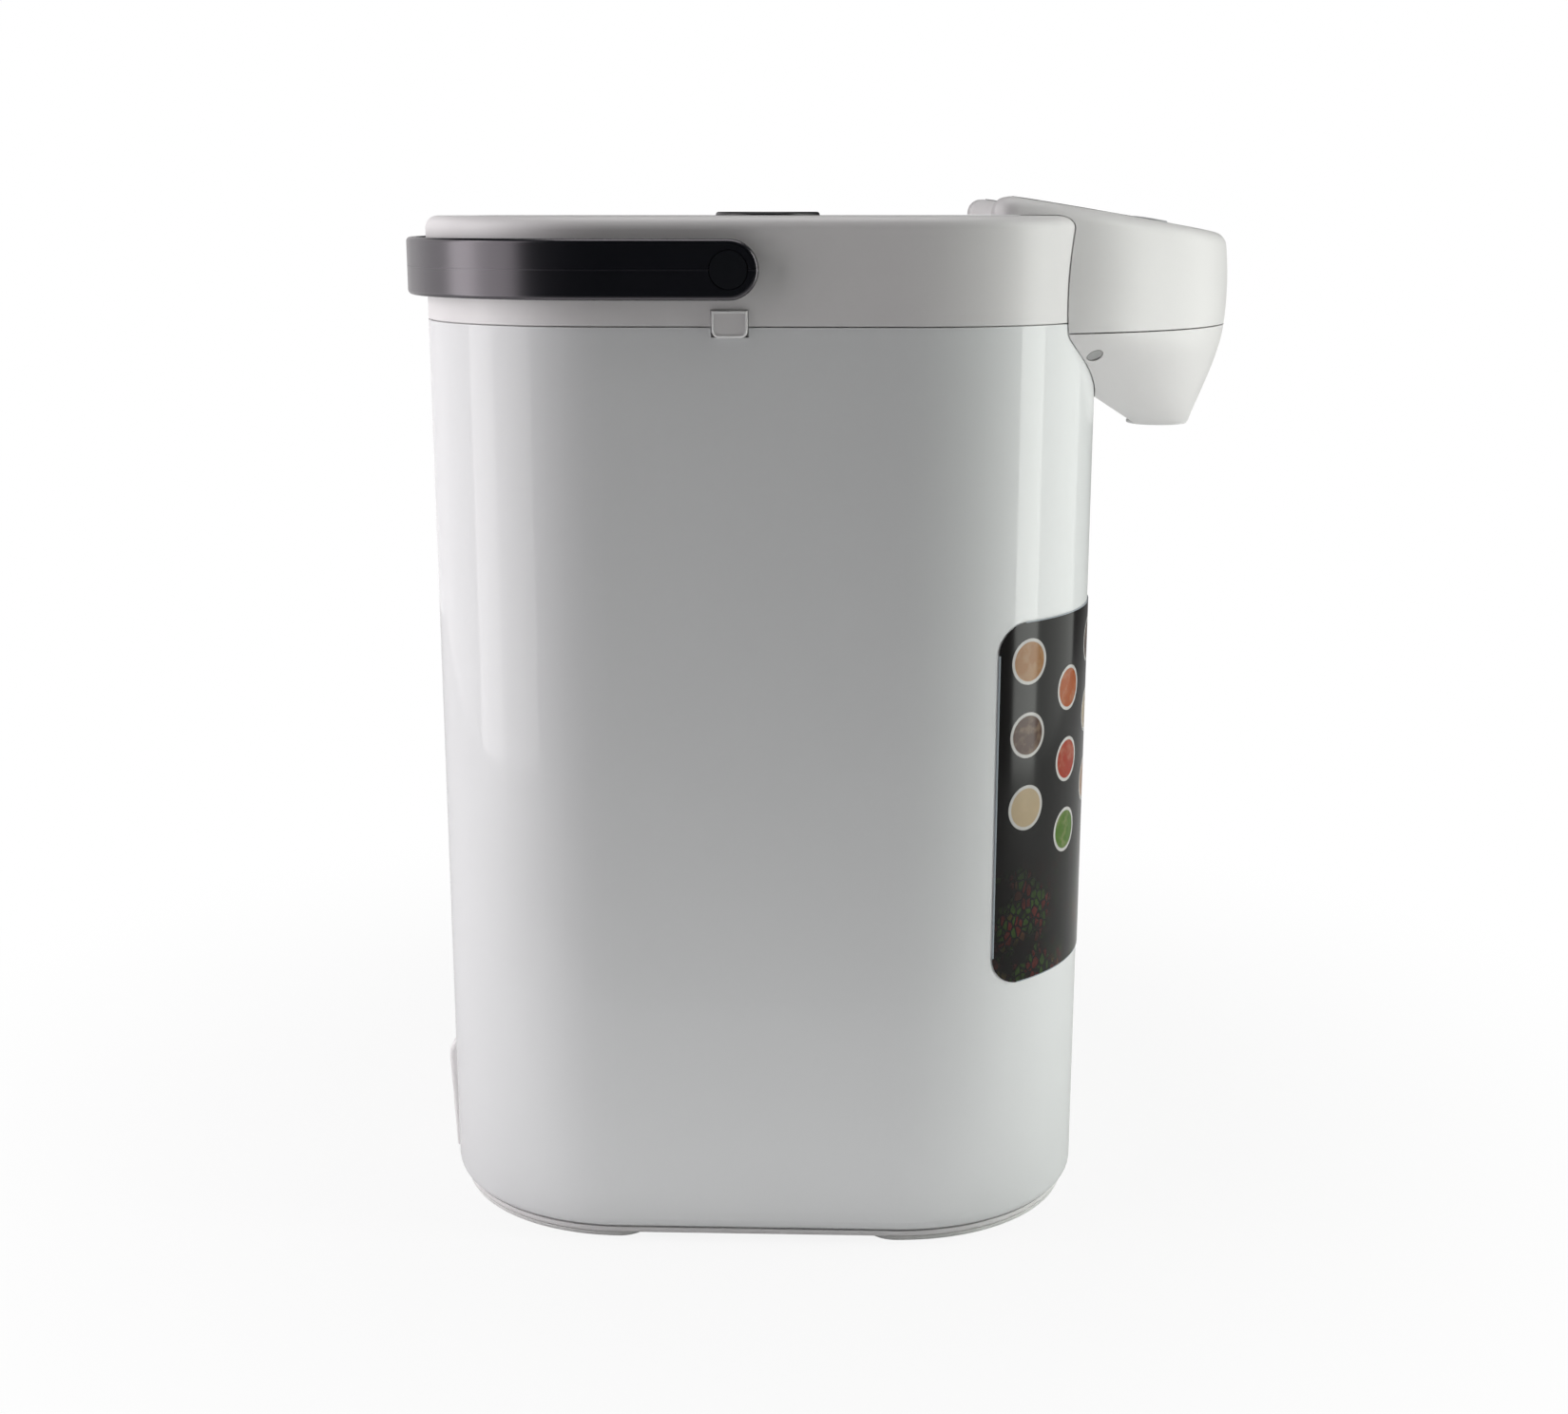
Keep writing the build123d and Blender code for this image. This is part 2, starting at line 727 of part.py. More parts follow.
impeller_z = chamber_bottom_z + chamber_wall + impeller_floor_gap
blade_length = impeller_radius - hub_radius
with BuildPart() as pump_impeller:
    with BuildSketch(level(impeller_z)):
        with Locations((0, pump_y)):
            Circle(impeller_radius)
    extrude(amount=impeller_disc)
    with BuildSketch(level(impeller_z)):
        with Locations((0, pump_y)):
            Circle(hub_radius)
            with PolarLocations(hub_radius + (blade_length - blade_overlap) / 2, blade_count):
                Rectangle(blade_length + blade_overlap, blade_thickness)
    extrude(amount=impeller_height)
    with BuildSketch(level(impeller_z)):
        with Locations((0, pump_y)):
            Circle(shaft_radius)
    extrude(amount=impeller_height, mode=Mode.SUBTRACT)
pump_impeller.part.label = "pump_impeller"
export_step(pump_impeller.part, "parts/pump_impeller.step")

with BuildPart() as pump_shaft:
    with BuildSketch(level(impeller_z + impeller_height - shaft_length)):
        with Locations((0, pump_y)):
            Circle(shaft_radius)
    extrude(amount=shaft_length)
pump_shaft.part.label = "pump_shaft"
export_step(pump_shaft.part, "parts/pump_shaft.step")

# ---- Water path: hoses, gauge tube and outlet pipe ------------------------------------------

hose_bottom_z = chamber_top_z + fit_gap
with BuildPart() as pump_inlet_hose:
    with BuildSketch(level(hose_bottom_z)):
        with Locations((0, pump_y)):
            Circle(hose_radius)
            Circle(riser_radius + running_gap, mode=Mode.SUBTRACT)
    extrude(amount=pot_bottom_z - fit_gap - hose_bottom_z)
pump_inlet_hose.part.label = "pump_inlet_hose"
export_step(pump_inlet_hose.part, "parts/pump_inlet_hose.step")

hose_start_y = pump_y - chamber_radius - fit_gap
hose_end_z = riser_bottom_z + sleeve_length / 2
hose_bend = hose_radius + hose_bend_margin
with BuildPart() as pump_outlet_hose:
    with BuildLine(Plane.YZ) as hose_path:
        FilletPolyline(
            (hose_start_y, hose_z), (riser_y, hose_z), (riser_y, hose_end_z), radius=hose_bend
        )
    with BuildSketch(front_plane(hose_start_y)):
        with Locations((0, hose_z)):
            Circle(hose_radius)
            Circle(riser_radius + running_gap, mode=Mode.SUBTRACT)
    sweep(path=hose_path.wires()[0])
pump_outlet_hose.part.label = "pump_outlet_hose"
export_step(pump_outlet_hose.part, "parts/pump_outlet_hose.step")

riser_top_z = collar_bottom_z - spigot_depth + sleeve_length / 2
with BuildPart() as gauge_tube:
    with BuildSketch(level(riser_bottom_z)):
        with Locations((0, riser_y)):
            Circle(riser_radius)
            Circle(riser_radius - riser_wall, mode=Mode.SUBTRACT)
    extrude(amount=riser_top_z - riser_bottom_z)
gauge_tube.part.label = "gauge_tube"
export_step(gauge_tube.part, "parts/gauge_tube.step")

pipe_start_z = riser_top_z + fit_gap
with BuildPart() as outlet_pipe:
    with BuildLine(Plane.YZ) as pipe_path:
        FilletPolyline(
            (riser_y, pipe_start_z),
            (riser_y, pipe_z),
            (nozzle_y, pipe_z),
            (nozzle_y, nozzle_bottom_z + nozzle_height),
            radius=pipe_bend,
        )
    with BuildSketch(level(pipe_start_z)):
        with Locations((0, riser_y)):
            Circle(riser_radius)
            Circle(riser_radius - riser_wall, mode=Mode.SUBTRACT)
    sweep(path=pipe_path.wires()[0])
outlet_pipe.part.label = "outlet_pipe"
export_step(outlet_pipe.part, "parts/outlet_pipe.step")

sleeve_bore = riser_radius + running_gap
with BuildPart() as riser_sleeve:
    with BuildSketch(level(riser_top_z - sleeve_length / 2)):
        with Locations((0, riser_y)):
            Circle(sleeve_bore + sleeve_wall)
            Circle(sleeve_bore, mode=Mode.SUBTRACT)
    extrude(amount=pipe_z - pipe_bend - riser_top_z + sleeve_length / 2)
riser_sleeve.part.label = "riser_sleeve"
export_step(riser_sleeve.part, "parts/riser_sleeve.step")

with BuildPart() as level_window:
    with BuildSketch(front_plane(-body_half - window_proud)):
        with Locations((0, window_mid_z)):
            SlotOverall(window_length - fit_gap, window_width - fit_gap, rotation=90)
    extrude(amount=-(window_proud + casing_wall + fit_gap))
    fillet(level_window.edges().group_by(Axis.Y)[0], window_proud / 2)
    with BuildSketch(front_plane(-body_half + casing_wall + fit_gap)):
        with Locations((0, window_mid_z)):
            SlotOverall(window_length + 2 * window_flange, window_width + 2 * window_flange, rotation=90)
    extrude(amount=-window_flange_thickness)
level_window.part.label = "level_window"
export_step(level_window.part, "parts/level_window.step")

# ---- Front labels, one on each side of the window -------------------------------------------

label_inner_x = window_width / 2 + label_window_margin
for label_name, side in {"front_label_left": -1, "front_label_right": 1}.items():
    with BuildPart() as front_label:
        with BuildSketch(level(label_bottom_z)):
            body_section(-label_lift - label_thickness)
            body_section(-label_lift, mode=Mode.SUBTRACT)
        extrude(amount=label_height)
        # Trim the outer end in side view and the inner end in front view
        with BuildSketch(side_plane(0)):
            with Locations((label_back_y - body_half, label_bottom_z + label_height / 2)):
                RectangleRounded(body_width, label_height, label_corner)
        extrude(amount=side * body_width, mode=Mode.INTERSECT)
        with BuildSketch(front_plane(0)):
            with Locations((side * (label_inner_x + body_half), label_bottom_z + label_height / 2)):
                RectangleRounded(body_width, label_height, label_corner)
        extrude(amount=body_width, mode=Mode.INTERSECT)
    front_label.part.label = label_name
    export_step(front_label.part, f"parts/{label_name}.step")

# ---- Spout head -----------------------------------------------------------------------------

slope_up = (0, -sin(radians(head_slope)), cos(radians(head_slope)))


def slope_plane(centre_y, depth=0.0):
    """A plane along the head's sloping top, centred at centre_y and sunk by depth."""
    centre_z = head_peak_z + (centre_y - head_peak_y) * sin(radians(head_slope)) / cos(radians(head_slope))
    on_top = Plane(origin=(0, centre_y, centre_z), x_dir=(1, 0, 0), z_dir=slope_up)
    return on_top.offset(-depth)


def head_section(z, wall):
    """The oval of the head at height z, drawn inside its wall."""
    belly = head_belly_grow if z == head_belly_z else 0.0
    top = 1.0 if z == head_top_z else 0.0
    half_x = head_half_width + belly / 2 - top * head_top_shrink - wall
    half_y = head_half_length + belly - top * head_front_shrink - wall
    with BuildSketch(level(z)) as section:
        with Locations((0, head_centre_y)):
            Ellipse(half_x, half_y)
    return section.sketch


def panel_section(depth, grow):
    """The crescent of the control panel, on the slope, with its edge moved out by grow."""
    with BuildSketch(slope_plane(head_centre_y, depth)) as section:
        Ellipse(head_half_width - panel_margin + grow, head_half_length - panel_margin + grow)
        with Locations((0, -head_centre_y)):
            Circle(head_clear_radius + panel_back_margin - grow, mode=Mode.SUBTRACT)
        fillet(section.vertices(), panel_corner)
    return section.sketch


def button_section(y, depth, grow):
    """The row of three buttons, on the slope, with their edges moved out by grow."""
    with BuildSketch(slope_plane(y, depth)) as section:
        with GridLocations(button_pitch, 0, 3, 1):
            SlotOverall(button_width + 2 * grow, button_length + 2 * grow)
    return section.sketch


def lens_section(depth, grow):
    """The row of three indicator lamps, on the slope."""
    with BuildSketch(slope_plane(lens_y, depth)) as section:
        with GridLocations(button_pitch, 0, 3, 1):
            Circle(lens_radius + grow)
    return section.sketch


head_levels = (head_seam_z, head_belly_z, head_top_z)
board_post_x = board_width / 2 - post_radius
board_post_y = board_length / 2 - post_radius


def head_form(wall):
    """The solid inside the head's wall: a lofted oval under a slope, open round the lid's mouth."""
    with BuildPart() as form:
        loft([head_section(z, wall) for z in head_levels])
        split(bisect_by=slope_plane(head_peak_y, wall), keep=Keep.BOTTOM)
        # The back of the hump follows the mouth, with a horn on each side of the lid
        with BuildSketch(level(rim_z)):
            with Locations((0, head_back_y - wall + body_half)):
                Rectangle(body_width, 2 * body_half)
            Circle(head_clear_radius + wall)
        extrude(amount=head_top_z - rim_z, mode=Mode.SUBTRACT)
        horn_y = head_back_y - wall
        horn_edges = form.edges().filter_by_position(Axis.Y, horn_y - cut_reach, horn_y + cut_reach)
        horn_edges = horn_edges.filter_by_position(Axis.Z, rim_z + cut_reach, head_top_z)
        fillet(horn_edges.filter_by(lambda edge: edge.length < horn_edge_length), horn_round - wall)
    return form.part


with BuildPart() as collar_room:
    with BuildSketch(level(head_seam_z)):
        body_section(-fit_gap)
    extrude(amount=rim_z + close_gap - head_seam_z)
    fillet(collar_room.edges().group_by(Axis.Z)[-1], rim_round + fit_gap)

with BuildPart() as head_shell:
    add(head_form(0.0))
    fillet(head_shell.faces().filter_by(slope_plane(head_peak_y)).edges(), head_round)
    # Fit against the casing and the collar's rounded rim
    add(collar_room.part, mode=Mode.SUBTRACT)
    add(head_form(head_wall), mode=Mode.SUBTRACT)
    # Posts that carry the control board
    with BuildSketch(slope_plane(board_y, board_depth)):
        with GridLocations(2 * board_post_x, 2 * board_post_y, 2, 2):
            Circle(post_radius)
    extrude(amount=board_depth - head_wall / 2)
    # Recess for the panel, and holes for the buttons and lamps
    panel_seat = panel_section(panel_thickness, fit_gap)
    button_holes = button_section(button_y, head_wall + cut_reach, button_gap)
    lens_holes = lens_section(head_wall + cut_reach, close_gap)
    extrude(panel_seat, amount=panel_thickness + cut_reach, mode=Mode.SUBTRACT)
    extrude(button_holes, amount=head_wall + 2 * cut_reach, mode=Mode.SUBTRACT)
    extrude(lens_holes, amount=head_wall + 2 * cut_reach, mode=Mode.SUBTRACT)
head_shell.part.label = "head_shell"
export_step(head_shell.part, "parts/head_shell.step")

with BuildPart() as control_panel:
    panel_depth = panel_thickness - panel_proud
    extrude(panel_section(panel_depth, 0.0), amount=panel_thickness)
    button_windows = button_section(button_y, panel_depth + cut_reach, button_gap)
    lens_windows = lens_section(panel_depth + cut_reach, close_gap)
    extrude(button_windows, amount=panel_thickness + 2 * cut_reach, mode=Mode.SUBTRACT)
    extrude(lens_windows, amount=panel_thickness + 2 * cut_reach, mode=Mode.SUBTRACT)
control_panel.part.label = "control_panel"
export_step(control_panel.part, "parts/control_panel.step")

button_names = {"button_unlock": -1, "button_dispense": 0, "button_boil": 1}
for button_name, place in button_names.items():
    with BuildPart() as button:
        with BuildSketch(slope_plane(button_y, button_depth)):
            with Locations((place * button_pitch, 0)):
                SlotOverall(button_width, button_length)
        extrude(amount=button_depth + button_proud)
        fillet(button.faces().sort_by(Axis.Z)[-1].edges(), button_proud / 2)
        # Lip that keeps the button under the shell
        with BuildSketch(slope_plane(button_y, button_depth)):
            with Locations((place * button_pitch, 0)):
                SlotOverall(button_width + 2 * button_lip, button_length + 2 * button_lip)
        extrude(amount=button_depth - head_wall - fit_gap)
    button.part.label = button_name
    export_step(button.part, f"parts/{button_name}.step")

with BuildPart() as indicator_lenses:
    extrude(lens_section(lens_depth, 0.0), amount=lens_depth + panel_proud)
indicator_lenses.part.label = "indicator_lenses"
export_step(indicator_lenses.part, "parts/indicator_lenses.step")

with BuildPart() as control_board:
    with BuildSketch(slope_plane(board_y, board_depth)):
        Rectangle(board_width, board_length)
    extrude(amount=-board_thickness)
    with BuildSketch(slope_plane(button_y, board_depth)):
        with GridLocations(button_pitch, 0, 3, 1):
            Rectangle(switch_size, switch_size)
    extrude(amount=switch_height)
control_board.part.label = "control_board"
export_step(control_board.part, "parts/control_board.step")

# ---- Spout housing, plugs and nozzle --------------------------------------------------------


def nose_loft(wall, floor):
    """The bowl under the head: ovals that shrink towards the nozzle, drawn inside the wall."""
    sections = []
    for step, drop in enumerate(nose_levels):
        centre_y = head_front_y + nose_front_insets[step] + nose_half_lengths[step]
        lift = floor if step == len(nose_levels) - 1 else 0.0
        with BuildSketch(level(head_seam_z - seam_line - drop + lift)) as section:
            with Locations((0, centre_y)):
                Ellipse(nose_half_widths[step] - wall, nose_half_lengths[step] - wall)
        sections.append(section.sketch)
    return sections


def underside_plane(lift):
    """The sloping underside, from the casing down to the nozzle."""
    normal = (0, -sin(radians(underside_angle)), cos(radians(underside_angle)))
    return Plane(origin=(0, -body_half, underside_z), x_dir=(1, 0, 0), z_dir=normal).offset(lift)


plug_planes = [
    Plane(
        origin=(side * screw_plug_place[0], screw_plug_place[1], screw_plug_place[2]),
        z_dir=(side * screw_plug_normal[0], screw_plug_normal[1], screw_plug_normal[2]),
    )
    for side in (-1, 1)
]

with BuildPart() as nose_cavity:
    loft(nose_loft(nose_wall, nose_wall))
    split(bisect_by=underside_plane(nose_wall), keep=Keep.TOP)

with BuildPart() as spout_housing:
    loft(nose_loft(0.0, 0.0))
    split(bisect_by=underside_plane(0.0), keep=Keep.TOP)
    with BuildSketch(level(nozzle_bottom_z)):
        body_section(-fit_gap)
    extrude(amount=head_seam_z - nozzle_bottom_z, mode=Mode.SUBTRACT)
    add(nose_cavity.part, mode=Mode.SUBTRACT)
    with BuildSketch(level(nozzle_bottom_z)):
        with Locations((0, nozzle_y)):
            Circle(nozzle_neck_radius + fit_gap)
    extrude(amount=nozzle_height, mode=Mode.SUBTRACT)
    with BuildSketch(*plug_planes):
        Circle(plug_face_radius + close_gap)
    extrude(amount=plug_stem_depth, both=True, mode=Mode.SUBTRACT)
spout_housing.part.label = "spout_housing"
export_step(spout_housing.part, "parts/spout_housing.step")

for plug_name, plug_plane in zip(("screw_plug_left", "screw_plug_right"), plug_planes):
    with BuildPart() as screw_plug:
        with BuildSketch(plug_plane):
            Circle(plug_face_radius)
        extrude(amount=-plug_stem_depth)
        fillet(screw_plug.edges().sort_by(Axis(plug_plane.origin, plug_plane.z_dir))[-1], close_gap)
    screw_plug.part.label = plug_name
    export_step(screw_plug.part, f"parts/{plug_name}.step")

nozzle_seat_z = nozzle_bottom_z + nozzle_height
with BuildPart() as nozzle:
    with BuildSketch(level(nozzle_bottom_z)):
        with Locations((0, nozzle_y)):
            Circle(nozzle_radius)
    extrude(amount=nozzle_flange)
    fillet(nozzle.edges().group_by(Axis.Z)[0], nozzle_round)
    with BuildSketch(level(nozzle_bottom_z)):
        with Locations((0, nozzle_y)):
            Circle(nozzle_neck_radius)
    extrude(amount=nozzle_height)
    with BuildSketch(level(nozzle_seat_z)):
        with Locations((0, nozzle_y)):
            Circle(riser_radius + running_gap + nose_wall)
    extrude(amount=nozzle_socket)
    with BuildSketch(level(nozzle_bottom_z)):
        with Locations((0, nozzle_y)):
            Circle(nozzle_bore)
    extrude(amount=nozzle_height - nozzle_web, mode=Mode.SUBTRACT)
    with BuildSketch(level(nozzle_bottom_z)):
        with Locations((0, nozzle_y)):
            Circle(riser_radius - riser_wall)
    extrude(amount=nozzle_height, mode=Mode.SUBTRACT)
    with BuildSketch(level(nozzle_seat_z)):
        with Locations((0, nozzle_y)):
            Circle(riser_radius + running_gap)
    extrude(amount=nozzle_socket, mode=Mode.SUBTRACT)
nozzle.part.label = "nozzle"
export_step(nozzle.part, "parts/nozzle.step")

# ---- Power inlet and boards -----------------------------------------------------------------

inlet_face_y = body_half + inlet_face_reach
inlet_back_y = inlet_face_y - socket_depth - chamber_wall
inlet_outer_width = socket_width + 2 * socket_wall
inlet_outer_height = socket_height + 2 * socket_wall

with BuildPart() as inlet_housing:
    with BuildSketch(side_plane(-inlet_half_width)):
        with BuildLine():
            foot_inner = (body_half + fit_gap, casing_bottom_z)
            foot_outer = (body_half + inlet_foot_reach, casing_bottom_z)
            peak = (body_half + inlet_peak_reach, inlet_peak_z)
            crown = (body_half + fit_gap, inlet_top_z)
            Polyline(crown, foot_inner, foot_outer, peak)
            TangentArc(peak, crown, tangent=(peak[0] - foot_outer[0], peak[1] - foot_outer[1]))
        make_face()
    extrude(amount=2 * inlet_half_width)
    side_edges = inlet_housing.faces().filter_by(Axis.X).edges()
    fillet(side_edges.filter_by_position(Axis.Y, foot_outer[0], body_width), inlet_side_round)
    with BuildSketch(front_plane(body_half - cut_reach)):
        with Locations((0, inlet_z)):
            RectangleRounded(socket_width, socket_height, socket_corner)
    extrude(amount=-body_half, mode=Mode.SUBTRACT)
    with BuildSketch(front_plane(inlet_face_y + fit_gap)):
        with Locations((0, inlet_z)):
            Rectangle(inlet_outer_width + 2 * fit_gap, inlet_outer_height + 2 * fit_gap)
    extrude(amount=body_half, mode=Mode.SUBTRACT)
inlet_housing.part.label = "inlet_housing"
export_step(inlet_housing.part, "parts/inlet_housing.step")

pin_places = [(-pin_spacing / 2, -pin_step / 2), (pin_spacing / 2, -pin_step / 2), (0, pin_step)]
with BuildPart() as power_inlet:
    with BuildSketch(front_plane(inlet_face_y)):
        with Locations((0, inlet_z)):
            Rectangle(inlet_outer_width, inlet_outer_height)
    extrude(amount=inlet_face_y - inlet_back_y)
    with BuildSketch(front_plane(inlet_face_y)):
        with Locations((0, inlet_z)):
            RectangleRounded(socket_width, socket_height, socket_corner)
    extrude(amount=socket_depth, mode=Mode.SUBTRACT)
    with BuildSketch(front_plane(inlet_face_y)):
        with Locations((0, inlet_z)):
            with Locations(pin_places):
                Rectangle(pin_width + 2 * running_gap, pin_height + 2 * running_gap)
    extrude(amount=inlet_face_y - inlet_back_y, mode=Mode.SUBTRACT)
power_inlet.part.label = "power_inlet"
export_step(power_inlet.part, "parts/power_inlet.step")

with BuildPart() as inlet_pins:
    with BuildSketch(front_plane(inlet_back_y - terminal_length)):
        with Locations((0, inlet_z)):
            with Locations(pin_places):
                Rectangle(pin_width, pin_height)
    extrude(amount=-(terminal_length + chamber_wall + pin_reach))
    fillet(inlet_pins.faces().group_by(Axis.Y)[-1].edges(), pin_width / 4)
inlet_pins.part.label = "inlet_pins"
export_step(inlet_pins.part, "parts/inlet_pins.step")

with BuildPart() as power_board:
    with BuildSketch(level(power_board_z)):
        with Locations((0, power_board_y)):
            Rectangle(power_board_width, power_board_length)
    extrude(amount=board_thickness)
    with BuildSketch(level(power_board_z + board_thickness)):
        with Locations((transformer_x, power_board_y)):
            Rectangle(transformer_size[0], transformer_size[1])
    extrude(amount=transformer_size[2])
    with BuildSketch(level(power_board_z + board_thickness)):
        with Locations((relay_x, power_board_y)):
            with GridLocations(relay_pitch[0], relay_pitch[1], 2, 2):
                Rectangle(relay_size[0], relay_size[1])
    extrude(amount=relay_size[2])
power_board.part.label = "power_board"
export_step(power_board.part, "parts/power_board.step")

# ---- Lid ------------------------------------------------------------------------------------

guide_radius = knob_radius + knob_gap
guide_bottom_z = pusher_z + pusher_thickness + 2 * fit_gap
latch_back_y = latch_front_y + latch_length
latch_pocket_length = latch_length + latch_travel + 2 * fit_gap
latch_pocket_y = latch_front_y - fit_gap + latch_pocket_length / 2
latch_top_z = latch_bottom_z + latch_thickness

with BuildPart() as lid_outer:
    with BuildSketch(level(lid_bottom_z)):
        Circle(lid_radius)
    extrude(amount=lid_depth)
    fillet(lid_outer.edges().group_by(Axis.Z)[-1], lid_edge_round)
    fillet(lid_outer.edges().group_by(Axis.Z)[0], lid_lower_round)
    with BuildSketch(level(lid_bottom_z)):
        Circle(lid_radius - lid_wall)
    extrude(amount=lid_depth - lid_top, mode=Mode.SUBTRACT)
    # Guide tube for the pump knob
    with BuildSketch(level(guide_bottom_z)):
        Circle(guide_radius + guide_wall)
    extrude(amount=rim_z - guide_bottom_z)
    with BuildSketch(level(guide_bottom_z)):
        Circle(guide_radius)
    extrude(amount=lid_depth, mode=Mode.SUBTRACT)
    # Pocket for the latch, with a slot in the side wall for its tongue
    with BuildSketch(level(latch_bottom_z - fit_gap - guide_wall)):
        with Locations((0, latch_pocket_y)):
            Rectangle(latch_width + 2 * guide_wall, latch_pocket_length + 2 * guide_wall)
    extrude(amount=latch_drop + fit_gap)
    with BuildSketch(level(latch_bottom_z - fit_gap)):
        with Locations((0, latch_pocket_y)):
            Rectangle(latch_width + 2 * fit_gap, latch_pocket_length)
    extrude(amount=lid_depth, mode=Mode.SUBTRACT)
    with BuildSketch(level(latch_bottom_z - fit_gap)):
        with Locations((0, latch_front_y - guide_wall)):
            Rectangle(tongue_width + 2 * fit_gap, 2 * (lid_radius + latch_front_y + guide_wall))
    extrude(amount=latch_thickness + 2 * fit_gap, mode=Mode.SUBTRACT)
    # Steam slots
    with BuildSketch(level(rim_z - lid_top)):
        with Locations((0, steam_slot_y)):
            with GridLocations(0, steam_slot_pitch, 1, steam_slot_count):
                SlotOverall(steam_slot_length, steam_slot_width)
    extrude(amount=lid_top, mode=Mode.SUBTRACT)
    # Hinge barrel on a web behind the rim
    with BuildSketch(side_plane(-barrel_length / 2)):
        with Locations((hinge_y, hinge_z)):
            Circle(barrel_radius)
        with Locations(((hinge_y + lid_radius - 2 * lid_wall) / 2, hinge_z)):
            Rectangle(hinge_y - lid_radius + 2 * lid_wall, 2 * barrel_radius - 2 * lid_edge_round)
    extrude(amount=barrel_length)
    with BuildSketch(side_plane(-barrel_length / 2)):
        with Locations((hinge_y, hinge_z)):
            Circle(hinge_pin_radius + running_gap)
    extrude(amount=barrel_length, mode=Mode.SUBTRACT)
lid_outer.part.label = "lid_outer"
export_step(lid_outer.part, "parts/lid_outer.step")

plug_bottom_z = lid_bottom_z - plug_depth
with BuildPart() as lid_inner:
    with BuildSketch(level(lid_bottom_z)):
        Circle(lid_radius - lid_wall - fit_gap)
    extrude(amount=lid_plate_thickness)
    with BuildSketch(level(plug_bottom_z)):
        Circle(plug_radius)
    extrude(amount=plug_depth)
    fillet(lid_inner.edges().group_by(Axis.Z)[0], lid_wall)
    with BuildSketch(level(well_bottom_z)):
        Circle(well_radius)
    extrude(amount=well_depth)
    fillet(lid_inner.edges().group_by(Axis.Z)[0], lid_wall)
    # Hollow the plug, then the well in its middle
    with BuildSketch(level(plug_bottom_z + well_wall)):
        Circle(plug_radius - well_wall)
        Circle(well_radius, mode=Mode.SUBTRACT)
    extrude(amount=plug_depth + lid_plate_thickness, mode=Mode.SUBTRACT)
    with BuildSketch(level(well_bottom_z + well_wall)):
        Circle(well_radius - well_wall)
    extrude(amount=well_depth + lid_depth, mode=Mode.SUBTRACT)
    # Hole for the valve's stem, with air holes around it
    with BuildSketch(level(well_bottom_z)):
        Circle(valve_stem_radius + running_gap)
        with PolarLocations(valve_radius - valve_stem_radius, blade_count):
            Circle(valve_stem_radius / 2)
    extrude(amount=well_wall, mode=Mode.SUBTRACT)
lid_inner.part.label = "lid_inner"
export_step(lid_inner.part, "parts/lid_inner.step")

seal_bottom_z = pot_rim_z + close_gap
seal_half_height = (lid_bottom_z - seal_bottom_z) / 2
seal_lip_radius = (seal_inner_radius + seal_outer_radius) / 2
with BuildPart() as lid_seal:
    with BuildSketch(level(lid_bottom_z - seal_half_height)):
        Circle(seal_outer_radius)
        Circle(seal_inner_radius, mode=Mode.SUBTRACT)
    extrude(amount=seal_half_height)
    # Lip that presses on the pot's flange
    with BuildSketch(level(seal_bottom_z)):
        Circle(seal_lip_radius + seal_lip_width / 2)
        Circle(seal_lip_radius - seal_lip_width / 2, mode=Mode.SUBTRACT)
    extrude(amount=seal_half_height)
lid_seal.part.label = "lid_seal"
export_step(lid_seal.part, "parts/lid_seal.step")

with BuildPart() as lid_hinge_pin:
    with BuildSketch(side_plane(-notch_half - notch_wall)):
        with Locations((hinge_y, hinge_z)):
            Circle(hinge_pin_radius)
    extrude(amount=2 * (notch_half + notch_wall))
lid_hinge_pin.part.label = "lid_hinge_pin"
export_step(lid_hinge_pin.part, "parts/lid_hinge_pin.step")

with BuildPart() as lid_latch:
    with BuildSketch(level(latch_bottom_z)):
        with Locations((0, (latch_front_y + latch_back_y) / 2)):
            Rectangle(latch_width, latch_length)
    extrude(amount=latch_thickness)
    with BuildSketch(level(latch_bottom_z)):
        with Locations((0, (latch_front_y - mouth_radius - tongue_reach) / 2)):
            Rectangle(tongue_width, mouth_radius + tongue_reach + latch_front_y)
    extrude(amount=latch_thickness - close_gap)
    # Finger grip: a raised bar at the back of the slider
    with BuildSketch(level(latch_top_z)):
        with Locations((0, latch_back_y - latch_grip_length / 2)):
            Rectangle(latch_width, latch_grip_length)
    extrude(amount=latch_drop - latch_thickness)
    fillet(lid_latch.faces().sort_by(Axis.Z)[-1].edges(), knob_round / 2)
lid_latch.part.label = "lid_latch"
export_step(lid_latch.part, "parts/lid_latch.step")

# ---- Pump knob, bellows, spring and valve ---------------------------------------------------

with BuildPart() as pump_knob:
    with BuildSketch(level(pusher_z)):
        Circle(knob_radius)
    extrude(amount=knob_top_z - pusher_z)
    fillet(pump_knob.edges().group_by(Axis.Z)[-1], knob_round)
    with BuildSketch(level(pusher_z + pusher_thickness)):
        Circle(knob_radius - knob_wall)
    extrude(amount=knob_top_z - pusher_z - pusher_thickness - knob_wall, mode=Mode.SUBTRACT)
    with BuildSketch(level(pusher_z)):
        Circle(pusher_radius)
    extrude(amount=pusher_thickness)
pump_knob.part.label = "pump_knob"
export_step(pump_knob.part, "parts/pump_knob.step")

